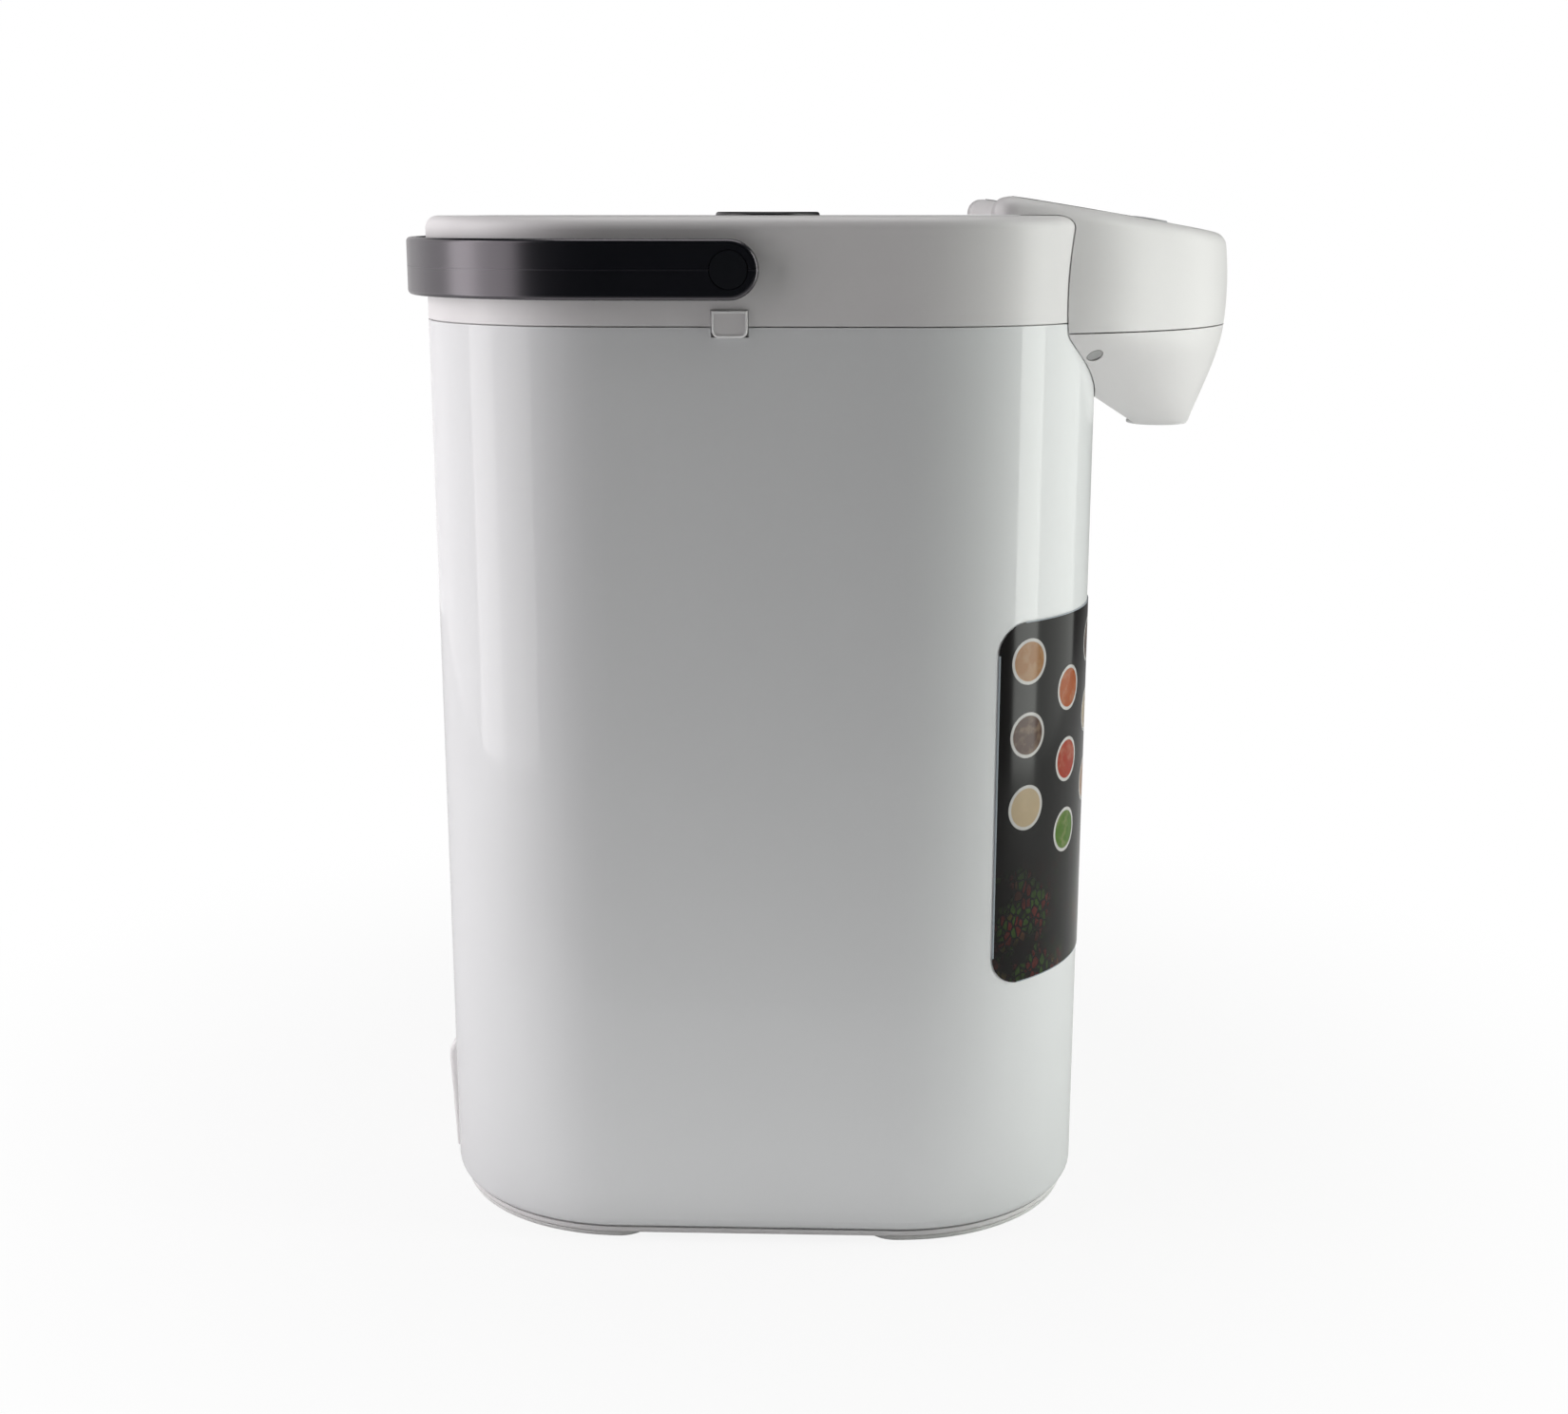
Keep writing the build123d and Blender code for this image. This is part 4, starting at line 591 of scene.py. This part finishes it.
class THERMOPOT_OT_stage(bpy.types.Operator):
    """Adds the floor, the lamps, the world and the camera"""

    bl_idname = "thermopot.stage"
    bl_label = "Stage"

    def execute(self, context):
        studio = context.scene.thermopot_studio
        self.add_camera(context)
        self.add_floor(studio)
        self.add_world(context, studio)
        # Each upright lamp stands on one link of its chain.
        lamps = (
            ("left", LEFT_CHAIN, 2, studio.left_tint),
            ("left_edge", LEFT_CHAIN, 1, studio.left_tint),
            ("left_fore", LEFT_CHAIN, 0, studio.left_tint),
            ("back", LEFT_CHAIN, 3, studio.left_tint),
            ("right", RIGHT_CHAIN, 2, studio.right_tint),
            ("right_edge", RIGHT_CHAIN, 1, studio.right_tint),
            ("right_fore", RIGHT_CHAIN, 0, studio.right_tint),
        )
        for name, chain, link, tint in lamps:
            watts = getattr(studio, f"{name}_power")
            self.add_upright_lamp(context, f"{name}_lamp", *chain[link : link + 2], watts, tint)
        self.add_level_lamps(context, studio)
        context.scene.view_settings.view_transform = "Standard"
        return {"FINISHED"}

    def add_camera(self, context):
        level = math.cos(CAMERA_PITCH)
        forward = Vector(
            (
                level * math.cos(CAMERA_YAW),
                level * math.sin(CAMERA_YAW),
                -math.sin(CAMERA_PITCH),
            )
        )
        right = Vector((math.sin(CAMERA_YAW), -math.cos(CAMERA_YAW), 0.0))
        up = right.cross(forward)
        lens = bpy.data.cameras.new("view")
        lens.sensor_width = SENSOR_WIDTH
        lens.lens = SENSOR_WIDTH * FOCAL_WIDTHS
        lens.clip_start = 0.01
        lens.clip_end = 50.0
        camera = bpy.data.objects.new("view", lens)
        turn = Matrix((right, up, -forward)).transposed().to_4x4()
        camera.matrix_world = Matrix.Translation(CAMERA_PLACE) @ turn
        context.scene.collection.objects.link(camera)
        context.scene.camera = camera

    def add_floor(self, studio):
        deselect()
        bpy.ops.mesh.primitive_plane_add(size=studio.floor_size, location=(0, 0, -FLOOR_DROP))
        floor = named("floor")
        finish = Finish("floor")
        x, y, _ = finish.axes()
        distance = (x * x + y * y) ** 0.5
        base = studio.floor_colour
        finish.set(
            base_color=finish.mix(finish.noise(0.4), shade(base, 0.99), shade(base, 1.01)),
            roughness=0.9,
            specular_ior_level=0.1,
        )
        # The floor looks white where no shadow falls, and its light on the pot stays as it is.
        path = finish.node("ShaderNodeLightPath", output="Is Camera Ray")
        glow = finish.node("ShaderNodeEmission", {"Color": WHITE, "Strength": 1.0})
        share = path * (NEAR_WHITE + (1 - NEAR_WHITE) * distance.fade(*NEAR_FADE))
        shader = Varying(finish, finish.shader.outputs[0])
        mixed = finish.node("ShaderNodeMixShader", {0: share, 1: shader, 2: glow})
        finish.feed(finish.tree.nodes["Material Output"].inputs["Surface"], mixed)
        floor.data.materials.append(finish.material)
        settle(floor)

    def add_world(self, context, studio):
        world = bpy.data.worlds.new("studio")
        world.use_nodes = True
        context.scene.world = world
        nodes, links = world.node_tree.nodes, world.node_tree.links
        background = nodes["Background"]
        background.inputs["Color"].default_value = (*WHITE, 1.0)
        path = nodes.new("ShaderNodeLightPath")
        seen = nodes.new("ShaderNodeMath")
        seen.operation = "MAXIMUM"
        links.new(path.outputs["Is Camera Ray"], seen.inputs[0])
        links.new(path.outputs["Is Transmission Ray"], seen.inputs[1])
        strength = nodes.new("ShaderNodeMapRange")
        links.new(seen.outputs[0], strength.inputs["Value"])
        strength.inputs["To Min"].default_value = studio.ambient
        strength.inputs["To Max"].default_value = 1.0
        links.new(strength.outputs[0], background.inputs["Strength"])

    def add_upright_lamp(self, context, name, near, far, watts, tint):
        """A rectangular lamp that stands on the line from near to far and faces the pot."""
        width = math.dist(near, far)
        middle = Vector(((near[0] + far[0]) / 2, (near[1] + far[1]) / 2, LAMP_HEIGHT / 2))
        along = Vector((far[0] - near[0], far[1] - near[1], 0.0)).normalized()
        facing = Vector((along.y, -along.x, 0.0))
        if facing.dot(middle) > 0:
            facing = -facing
        up = Vector((0, 0, 1))
        turn = Matrix((up.cross(-facing), up, -facing)).transposed().to_4x4()
        place = Matrix.Translation(middle) @ turn
        self.add_lamp(context, name, (width, LAMP_HEIGHT), place, watts, tint)

    def add_level_lamps(self, context, studio):
        """A lamp overhead, and one on the floor before the pot that faces up, as a bright floor."""
        above = Matrix.Translation(TOP_LAMP_PLACE)
        below = Matrix.Translation(FRONT_LAMP_PLACE) @ Matrix.Rotation(math.pi, 4, "X")
        self.add_lamp(context, "top_lamp", TOP_LAMP_SIZE, above, studio.top_power, WHITE)
        self.add_lamp(context, "front_lamp", FRONT_LAMP_SIZE, below, studio.front_power, WHITE)

    def add_lamp(self, context, name, size, place, watts, tint):
        light = bpy.data.lights.new(name, "AREA")
        light.shape = "RECTANGLE"
        light.size, light.size_y = size
        light.energy = watts
        light.color = tint
        lamp = bpy.data.objects.new(name, light)
        lamp.matrix_world = place
        lamp.visible_camera = False
        context.scene.collection.objects.link(lamp)


class THERMOPOT_OT_casing(bpy.types.Operator):
    """Finishes the casing, the base and the feet"""

    bl_idname = "thermopot.casing"
    bl_label = "Casing and Base"

    def execute(self, context):
        colours = context.scene.thermopot_colours
        dress(enamelled("casing_enamel", colours.casing, 0.50), "outer_casing")
        # The base plate and the inlet housing get a white 8 % lighter than the other mouldings:
        # painted light that lifts the shade low on the pot, near the floor.
        white = moulded("base_moulding", shade(colours.moulding, 1.08), 0.42)
        dress(white, "base_plate", "inlet_housing")
        feet = soft("foot_rubber", colours.foot)
        ends = ("front_left", "front_right", "rear_left", "rear_right")
        dress(feet, *(f"foot_{end}" for end in ends))
        dress(brushed("screw_steel", colours.steel, 0.3), "base_screws")
        dress(moulded("inlet_black", colours.knob, 0.45), "power_inlet")
        dress(brushed("pin_brass", BRASS, 0.25), "inlet_pins")
        return {"FINISHED"}


class THERMOPOT_OT_collar(bpy.types.Operator):
    """Finishes the collar and its clips"""

    bl_idname = "thermopot.collar"
    bl_label = "Collar"

    def execute(self, context):
        colours = context.scene.thermopot_colours
        dress(moulded("collar_moulding", colours.moulding, 0.38), "collar")
        clips = moulded("clip_moulding", colours.moulding, 0.25)
        dress(clips, "collar_clip_left", "collar_clip_right")
        return {"FINISHED"}


class THERMOPOT_OT_beads(bpy.types.Operator):
    """Adds the polished bead round each of the collar's clips, whose whiter colour is a painted
    highlight along their edges
    """

    bl_idname = "thermopot.beads"
    bl_label = "Clip Beads"

    def execute(self, context):
        # The bead's white, lighter than the clip's, is a painted highlight; its gloss also catches
        # the lamps.
        finish = moulded("bead_moulding", BEAD_HIGHLIGHT_WHITE, 0.18, coat=0.6)
        for side, sign in (("left", -1), ("right", 1)):
            low, high = (Vector(corner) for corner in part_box(f"collar_clip_{side}"))
            bead = self.make_bead(f"clip_bead_{side}", high.y - low.y, high.z - low.z)
            middle = (low + high) / 2
            middle.x = high.x if sign > 0 else low.x
            turn = Matrix(((0, 0, sign), (sign, 0, 0), (0, 1, 0))).to_4x4()
            bead.matrix_world = Matrix.Translation(middle) @ turn
            fitted(smooth(settle(bead)), "pot_body", finish)
        return {"FINISHED"}

    def make_bead(self, name, width, height):
        """A flat frame with two rounded corners, given a thickness and soft edges."""
        deselect()
        bpy.ops.mesh.primitive_plane_add(size=1.0)
        bead = named(name)
        pick(bead, lambda corner: True)
        size = (width - BEAD_INSET, height - BEAD_INSET, 1.0)
        bpy.ops.transform.resize(value=size, center_override=(0.0, 0.0, 0.0))
        pick(bead, lambda corner: corner.y < 0)
        bpy.ops.mesh.bevel(offset=CLIP_CORNER, segments=6, affect="VERTICES")
        bpy.ops.mesh.select_all(action="SELECT")
        bpy.ops.mesh.select_mode(type="FACE")
        bpy.ops.mesh.inset(thickness=BEAD_WIDTH, use_boundary=True)
        bpy.ops.mesh.delete(type="FACE")
        deselect()
        thicken = bead.modifiers.new("thicken", "SOLIDIFY")
        thicken.thickness = BEAD_WIDTH
        thicken.offset = 0.0
        return bevelled(applied(bead, thicken), 0.35 * BEAD_WIDTH, 2)


class THERMOPOT_OT_head(bpy.types.Operator):
    """Finishes the spout head, its panel, keys and lamps, and the spout"""

    bl_idname = "thermopot.head"
    bl_label = "Spout Head"

    def execute(self, context):
        colours = context.scene.thermopot_colours
        dress(moulded("head_moulding", colours.moulding, 0.38), "head_shell", "spout_housing")
        dress(moulded("nozzle_moulding", colours.moulding, 0.45), "nozzle")
        dress(moulded("plug_moulding", colours.plug, 0.5), "screw_plug_left", "screw_plug_right")
        dress(moulded("panel_insert", colours.panel, 0.12, coat=0.5), "control_panel")
        keys = moulded("key_moulding", colours.key, 0.35)
        dress(keys, "button_unlock", "button_dispense", "button_boil")
        dress(clear("lamp_lens", LENS_RED, 0.15, 0.9), "indicator_lenses")
        return {"FINISHED"}


class THERMOPOT_OT_signs(bpy.types.Operator):
    """Adds the raised sign on each key: a ring, a drop and three waves"""

    bl_idname = "thermopot.signs"
    bl_label = "Key Signs"

    def execute(self, context):
        size = context.scene.thermopot_sizes.symbol_size
        finish = moulded("sign_print", context.scene.thermopot_colours.sign, 0.4)
        signs = (
            ("button_unlock", "unlock_key", self.make_ring(size)),
            ("button_dispense", "dispense_key", self.make_drop(size)),
            ("button_boil", "boil_key", self.make_waves(size)),
        )
        sloped = Matrix.Rotation(SLOPE, 4, "X")
        for node, body, sign in signs:
            sign.matrix_world = Matrix.Translation(self.find_top(node)) @ sloped
            fitted(smooth(settle(sign)), body, finish)
        return {"FINISHED"}

    def find_top(self, node):
        """The middle of a key's top, which slopes with the panel."""
        normal = Vector((0.0, -math.sin(SLOPE), math.cos(SLOPE)))
        corners = [vertex.co for vertex in NODES[node].data.vertices]
        reach = max(corner.dot(normal) for corner in corners)
        face = [corner for corner in corners if reach - corner.dot(normal) < FLAT_WITHIN]
        low = Vector([min(corner[axis] for corner in face) for axis in range(3)])
        high = Vector([max(corner[axis] for corner in face) for axis in range(3)])
        return (low + high) / 2

    def make_ring(self, size):
        """A slightly flattened ring."""
        deselect()
        bpy.ops.mesh.primitive_torus_add(
            major_radius=RING_RADIUS * size,
            minor_radius=RING_THICKNESS * size,
            major_segments=40,
            minor_segments=10,
        )
        ring = named("unlock_sign")
        pick(ring, lambda corner: True)
        flatter = (1.0, 1.0, RING_FLATTENING)
        bpy.ops.transform.resize(value=flatter, center_override=(0.0, 0.0, 0.0))
        deselect()
        return ring

    def make_drop(self, size):
        """A disc whose back is drawn in and out to a point."""
        radius = DROP_RADIUS * size
        deselect()
        bpy.ops.mesh.primitive_cylinder_add(vertices=40, radius=radius, depth=DROP_DEPTH * size)
        drop = named("dispense_sign")
        for start, narrowing in DROP_NARROWINGS:
            pick(drop, lambda corner: corner.y > start * radius)
            narrower = (narrowing, 1.0, 1.0)
            bpy.ops.transform.resize(value=narrower, center_override=(0.0, 0.0, 0.0))
        for start, lift in DROP_LIFTS:
            pick(drop, lambda corner: corner.y > start * radius)
            bpy.ops.transform.translate(value=(0.0, lift * radius, 0.0))
        return bevelled(drop, 0.02 * size, 2)

    def make_waves(self, size):
        """Three rods, each bent like a wave."""
        waves = []
        for place in (-1, 0, 1):
            deselect()
            bpy.ops.curve.primitive_bezier_curve_add(
                radius=WAVE_RADIUS * size,
                location=(WAVE_PITCH * place * size, 0.0, 0.0),
                rotation=(0.0, 0.0, math.pi / 2),
            )
            wave = bpy.context.object
            wave.data.bevel_depth = WAVE_THICKNESS * size
            wave.data.bevel_resolution = 3
            wave.data.use_fill_caps = True
            bpy.ops.object.convert(target="MESH")
            waves.append(bpy.context.object)
        return joined("boil_sign", waves)


class THERMOPOT_OT_marks(bpy.types.Operator):
    """Adds the level marks on the window"""

    bl_idname = "thermopot.marks"
    bl_label = "Level Marks"

    def execute(self, context):
        sizes = context.scene.thermopot_sizes
        low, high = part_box("level_window")
        marks = []
        for number in range(sizes.mark_count):
            # The top and bottom marks are wider than the ones between.
            stretch = END_MARK_STRETCH if number in (0, sizes.mark_count - 1) else 1.0
            width = sizes.mark_width * stretch
            height = low[2] + MARK_START + number * sizes.mark_pitch
            middle = (high[0] - WINDOW_FLANGE - MARK_MARGIN - width / 2, low[1], height)
            size = (width, MARK_RELIEF, sizes.mark_height)
            marks.append(bar("mark", middle, size, MARK_ROUNDING))
        finish = moulded("mark_print", context.scene.thermopot_colours.sign, 0.5)
        fitted(smooth(joined("level_marks", marks)), "pot_body", finish)
        return {"FINISHED"}


class THERMOPOT_OT_ribs(bpy.types.Operator):
    """Adds the grip ribs on the lid's latch"""

    bl_idname = "thermopot.ribs"
    bl_label = "Latch Ribs"

    def execute(self, context):
        sizes = context.scene.thermopot_sizes
        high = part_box("lid_latch")[1]
        ribs = []
        for number in range(sizes.rib_count):
            place = high[1] - RIB_START - number * sizes.rib_pitch
            middle = (0.0, place, high[2] - LATCH_STEP)
            ribs.append(bar("rib", middle, RIB_SIZE, RIB_ROUNDING))
        finish = moulded("rib_moulding", context.scene.thermopot_colours.plug, 0.42)
        fitted(smooth(joined("latch_ribs", ribs)), "latch_slider", finish)
        return {"FINISHED"}


class THERMOPOT_OT_lid(bpy.types.Operator):
    """Finishes the lid, its latch, knob and pump"""

    bl_idname = "thermopot.lid"
    bl_label = "Lid"

    def execute(self, context):
        colours = context.scene.thermopot_colours
        dress(moulded("lid_moulding", colours.moulding, 0.38), "lid_outer")
        plate = brushed("lid_steel", colours.steel, 0.38, grain=1.5 * MM, metallic=0.65)
        dress(plate, "lid_inner")
        dress(soft("seal_silicone", colours.silicone, 0.45), "lid_seal", "check_valve")
        dress(moulded("latch_moulding", colours.plug, 0.42), "lid_latch")
        dress(moulded("knob_moulding", colours.knob, 0.35), "pump_knob")
        dress(brushed("hinge_steel", colours.steel, 0.2), "lid_hinge_pin")
        return {"FINISHED"}


class THERMOPOT_OT_pump(bpy.types.Operator):
    """Adds the bellows and the spring under the knob, as copies of their CAD nodes"""

    bl_idname = "thermopot.pump"
    bl_label = "Bellows and Spring"

    def execute(self, context):
        colours = context.scene.thermopot_colours
        silicone = soft("bellows_silicone", colours.silicone, 0.45)
        steel = brushed("spring_steel", colours.steel, 0.2)
        pieces = (
            ("folded_bellows", "pump_bellows", "silicone", silicone),
            ("coil_spring", "pump_spring", "bright_steel", steel),
        )
        for name, node, slot, finish in pieces:
            piece = self.copy_node(name, node)
            fitted(smooth(piece), "lid", finish)
            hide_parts(node)
            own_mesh(piece)
        return {"FINISHED"}

    def copy_node(self, name, node):
        """A piece with the shape of a CAD node, its loose triangles merged."""
        piece = bpy.data.objects.new(name, NODES[node].data.copy())
        piece.data.name = name
        bpy.context.scene.collection.objects.link(piece)
        pick(piece, lambda corner: True)
        bpy.ops.mesh.remove_doubles(threshold=MERGE_WITHIN)
        deselect()
        return piece


class THERMOPOT_OT_handle(bpy.types.Operator):
    """Finishes the carrying handle and its pivots"""

    bl_idname = "thermopot.handle"
    bl_label = "Handle"

    def execute(self, context):
        colours = context.scene.thermopot_colours
        dress(self.mould_handle(colours.handle), "handle")
        pins = moulded("pivot_moulding", colours.handle, 0.35, mottle=0.06)
        dress(pins, "handle_pin_left", "handle_pin_right")
        return {"FINISHED"}

    def mould_handle(self, base):
        """Dark plastic with the faint line along its middle where its two mould halves met."""
        finish = Finish("handle_moulding")
        height = finish.axes()[2]
        grains = finish.noise(0.4 * MM, detail=1.0)
        clouds = finish.noise(25 * MM, detail=3.0)
        line = 1 - abs(height - HANDLE_LEVEL).fade(*MOULD_LINE)
        finish.set(
            base_color=finish.mix(clouds, shade(base, 0.92), shade(base, 1.10)),
            roughness=0.25 + (clouds - 0.5) * 0.05 + line * 0.05,
            specular_ior_level=1.0,
            specular_tint=(1.0, 0.93, 1.0),
        )
        finish.bump(grains * 0.05 + line, 0.02 * MM)
        return finish


class THERMOPOT_OT_label(bpy.types.Operator):
    """Prints the front labels"""

    bl_idname = "thermopot.label"
    bl_label = "Front Labels"

    def execute(self, context):
        colours = context.scene.thermopot_colours
        dress(self.print_label(colours.label), "front_label_left", "front_label_right")
        return {"FINISHED"}

    def print_label(self, ground):
        """Cups of drinks seen from above, in staggered columns, over leaves on a dark ground."""
        finish = Finish("label_film")
        x, y, z = finish.axes()
        side = abs(x)
        turn = (side - CORNER_CENTRE).math("ARCTAN2", -1.0 * y - CORNER_CENTRE)
        across = side.at_most(CORNER_CENTRE) + turn.at_least(0.0) * CORNER_RADIUS
        picture = self.add_leaves(finish, z, ground)
        picture = self.add_cups(finish, x, across, z, picture)
        picture = self.add_edge(finish, across, z, picture)
        sheen = 0.10 + finish.noise(15 * MM) * 0.04
        finish.set(base_color=picture, roughness=sheen, specular_ior_level=0.2)
        return finish

    def add_leaves(self, finish, z, ground):
        """The dark ground, with dim leaves that fade out upwards."""
        inputs = {"Vector": finish.stretched((1.0, 1.0, 0.7)), "Scale": 1.0 / LEAF_SIZE}
        kind = finish.node("ShaderNodeTexVoronoi", inputs, output="Color")
        veins = finish.node("ShaderNodeTexVoronoi", inputs, feature="DISTANCE_TO_EDGE")
        clump = finish.noise(CLUMP_SIZE, detail=4.0).fade(0.42, 0.66)
        share = (1 - z.fade(*LEAVES_FADE)) * clump * veins.fade(0.02, 0.22)
        leaves = finish.mix(kind.fade(0.42, 0.58), LEAF_GREEN, LEAF_RED)
        dark = finish.mix(finish.noise(12 * MM), ground, shade(ground, 1.6))
        return finish.mix(share, dark, leaves)

    def add_cups(self, finish, x, across, z, picture):
        """One cup in each cell of the staggered columns: a pale rim round its drink."""
        column = (across - CUP_START) / CUP_PITCH
        column_number = column.math("FLOOR")
        shift = column_number.math("FLOORED_MODULO", 2.0) * 0.5
        row = (z - CUP_LOW) / CUP_RISE - shift
        row_number = row.math("FLOOR")
        aside = (column - column_number - 0.5) * CUP_PITCH
        above = (row - row_number - 0.5) * CUP_RISE
        distance = (aside * aside + above * above) ** 0.5
        middle = z - above
        whole = (across > CUPS_INNER) * (middle > CUPS_LOWEST) * (middle < CUPS_HIGHEST)
        column_step, row_step, side_step = DRINK_STEPS
        choice = column_number * column_step + row_number * row_step + (x > 0.0) * side_step
        drink = finish.node(
            "ShaderNodeValToRGB",
            {"Fac": choice.math("FRACT")},
            stops=DRINKS,
            ramp_interpolation="CONSTANT",
        )
        swirl = finish.noise(4 * MM, detail=3.0).fade(0.45, 0.70)
        drink = finish.mix(swirl * 0.2, drink, FROTH)
        cup = 1 - distance.fade(CUP_RADIUS - CUP_EDGE, CUP_RADIUS)
        inside = 1 - distance.fade(*(CUP_RADIUS - depth for depth in DRINK_FADE))
        china = finish.mix(finish.noise(6 * MM), *CHINA)
        return finish.mix(cup * whole, picture, finish.mix(inside, china, drink))

    def add_edge(self, finish, across, z, picture):
        """The pale cut edge of the film, along its straight sides."""
        outer = LABEL_END - across
        level = (z - LABEL_LOW).at_most(LABEL_HIGH - z)
        side = (outer < LABEL_RIM) * (level > LABEL_CORNER)
        end = (level < LABEL_RIM) * (outer > LABEL_CORNER)
        return finish.mix(side + end, picture, FILM_EDGE)


class THERMOPOT_OT_inside(bpy.types.Operator):
    """Finishes what is inside the pot: the steel pot, the pump, the hoses and the boards"""

    bl_idname = "thermopot.inside"
    bl_label = "Inner Parts"

    def execute(self, context):
        colours = context.scene.thermopot_colours
        dress(brushed("pot_steel", colours.steel, 0.40, metallic=0.65), "inner_pot")
        dress(soft("jacket_felt", FELT, 0.9), "insulation_jacket")
        metal = brushed("heater_metal", DULL_METAL, 0.45)
        dress(metal, "heater_disc", "pump_motor", "pump_shaft")
        dress(moulded("grey_moulding", GREY, 0.45), "thermostat_boil", "thermostat_dry")
        dress(moulded("pump_moulding", PALE_GREY, 0.4), "pump_housing", "pump_impeller")
        hoses = soft("hose_silicone", colours.silicone, 0.45)
        dress(hoses, "pump_inlet_hose", "pump_outlet_hose", "riser_sleeve", "outlet_pipe")
        dress(clear("gauge_plastic", GAUGE_CLEAR, 0.1, 0.35), "gauge_tube")
        dress(clear("window_plastic", WINDOW_CLEAR, 0.08, 0.35), "level_window")
        dress(moulded("board_lacquer", colours.board, 0.3), "control_board", "power_board")
        return {"FINISHED"}


class THERMOPOT_PT_sidebar(bpy.types.Panel):
    """Lists the operators that dress the pot"""

    bl_label = "Thermo Pot"
    bl_idname = "THERMOPOT_PT_sidebar"
    bl_space_type = "VIEW_3D"
    bl_region_type = "UI"
    bl_category = "Thermo Pot"

    def draw(self, context):
        for operator in OPERATORS:
            self.layout.operator(operator.bl_idname)


GROUPS = (ThermoPotColours, ThermoPotSizes, ThermoPotStudio)
OPERATORS = (
    THERMOPOT_OT_stage,
    THERMOPOT_OT_casing,
    THERMOPOT_OT_collar,
    THERMOPOT_OT_beads,
    THERMOPOT_OT_head,
    THERMOPOT_OT_signs,
    THERMOPOT_OT_marks,
    THERMOPOT_OT_lid,
    THERMOPOT_OT_pump,
    THERMOPOT_OT_ribs,
    THERMOPOT_OT_handle,
    THERMOPOT_OT_label,
    THERMOPOT_OT_inside,
)
CLASSES = (*GROUPS, *OPERATORS, THERMOPOT_PT_sidebar)


def register():
    """Registers the add-on's classes and puts its settings on the scene."""
    for kind in CLASSES:
        bpy.utils.register_class(kind)
    bpy.types.Scene.thermopot_colours = PointerProperty(type=ThermoPotColours)
    bpy.types.Scene.thermopot_sizes = PointerProperty(type=ThermoPotSizes)
    bpy.types.Scene.thermopot_studio = PointerProperty(type=ThermoPotStudio)


def unregister():
    """Takes all of that away again."""
    del bpy.types.Scene.thermopot_studio
    del bpy.types.Scene.thermopot_sizes
    del bpy.types.Scene.thermopot_colours
    for kind in reversed(CLASSES):
        bpy.utils.unregister_class(kind)


def main():
    """Dresses the pot."""
    register()
    for operator in OPERATORS:
        space, name = operator.bl_idname.split(".")
        getattr(getattr(bpy.ops, space), name)()


if __name__ == "__main__":
    main()
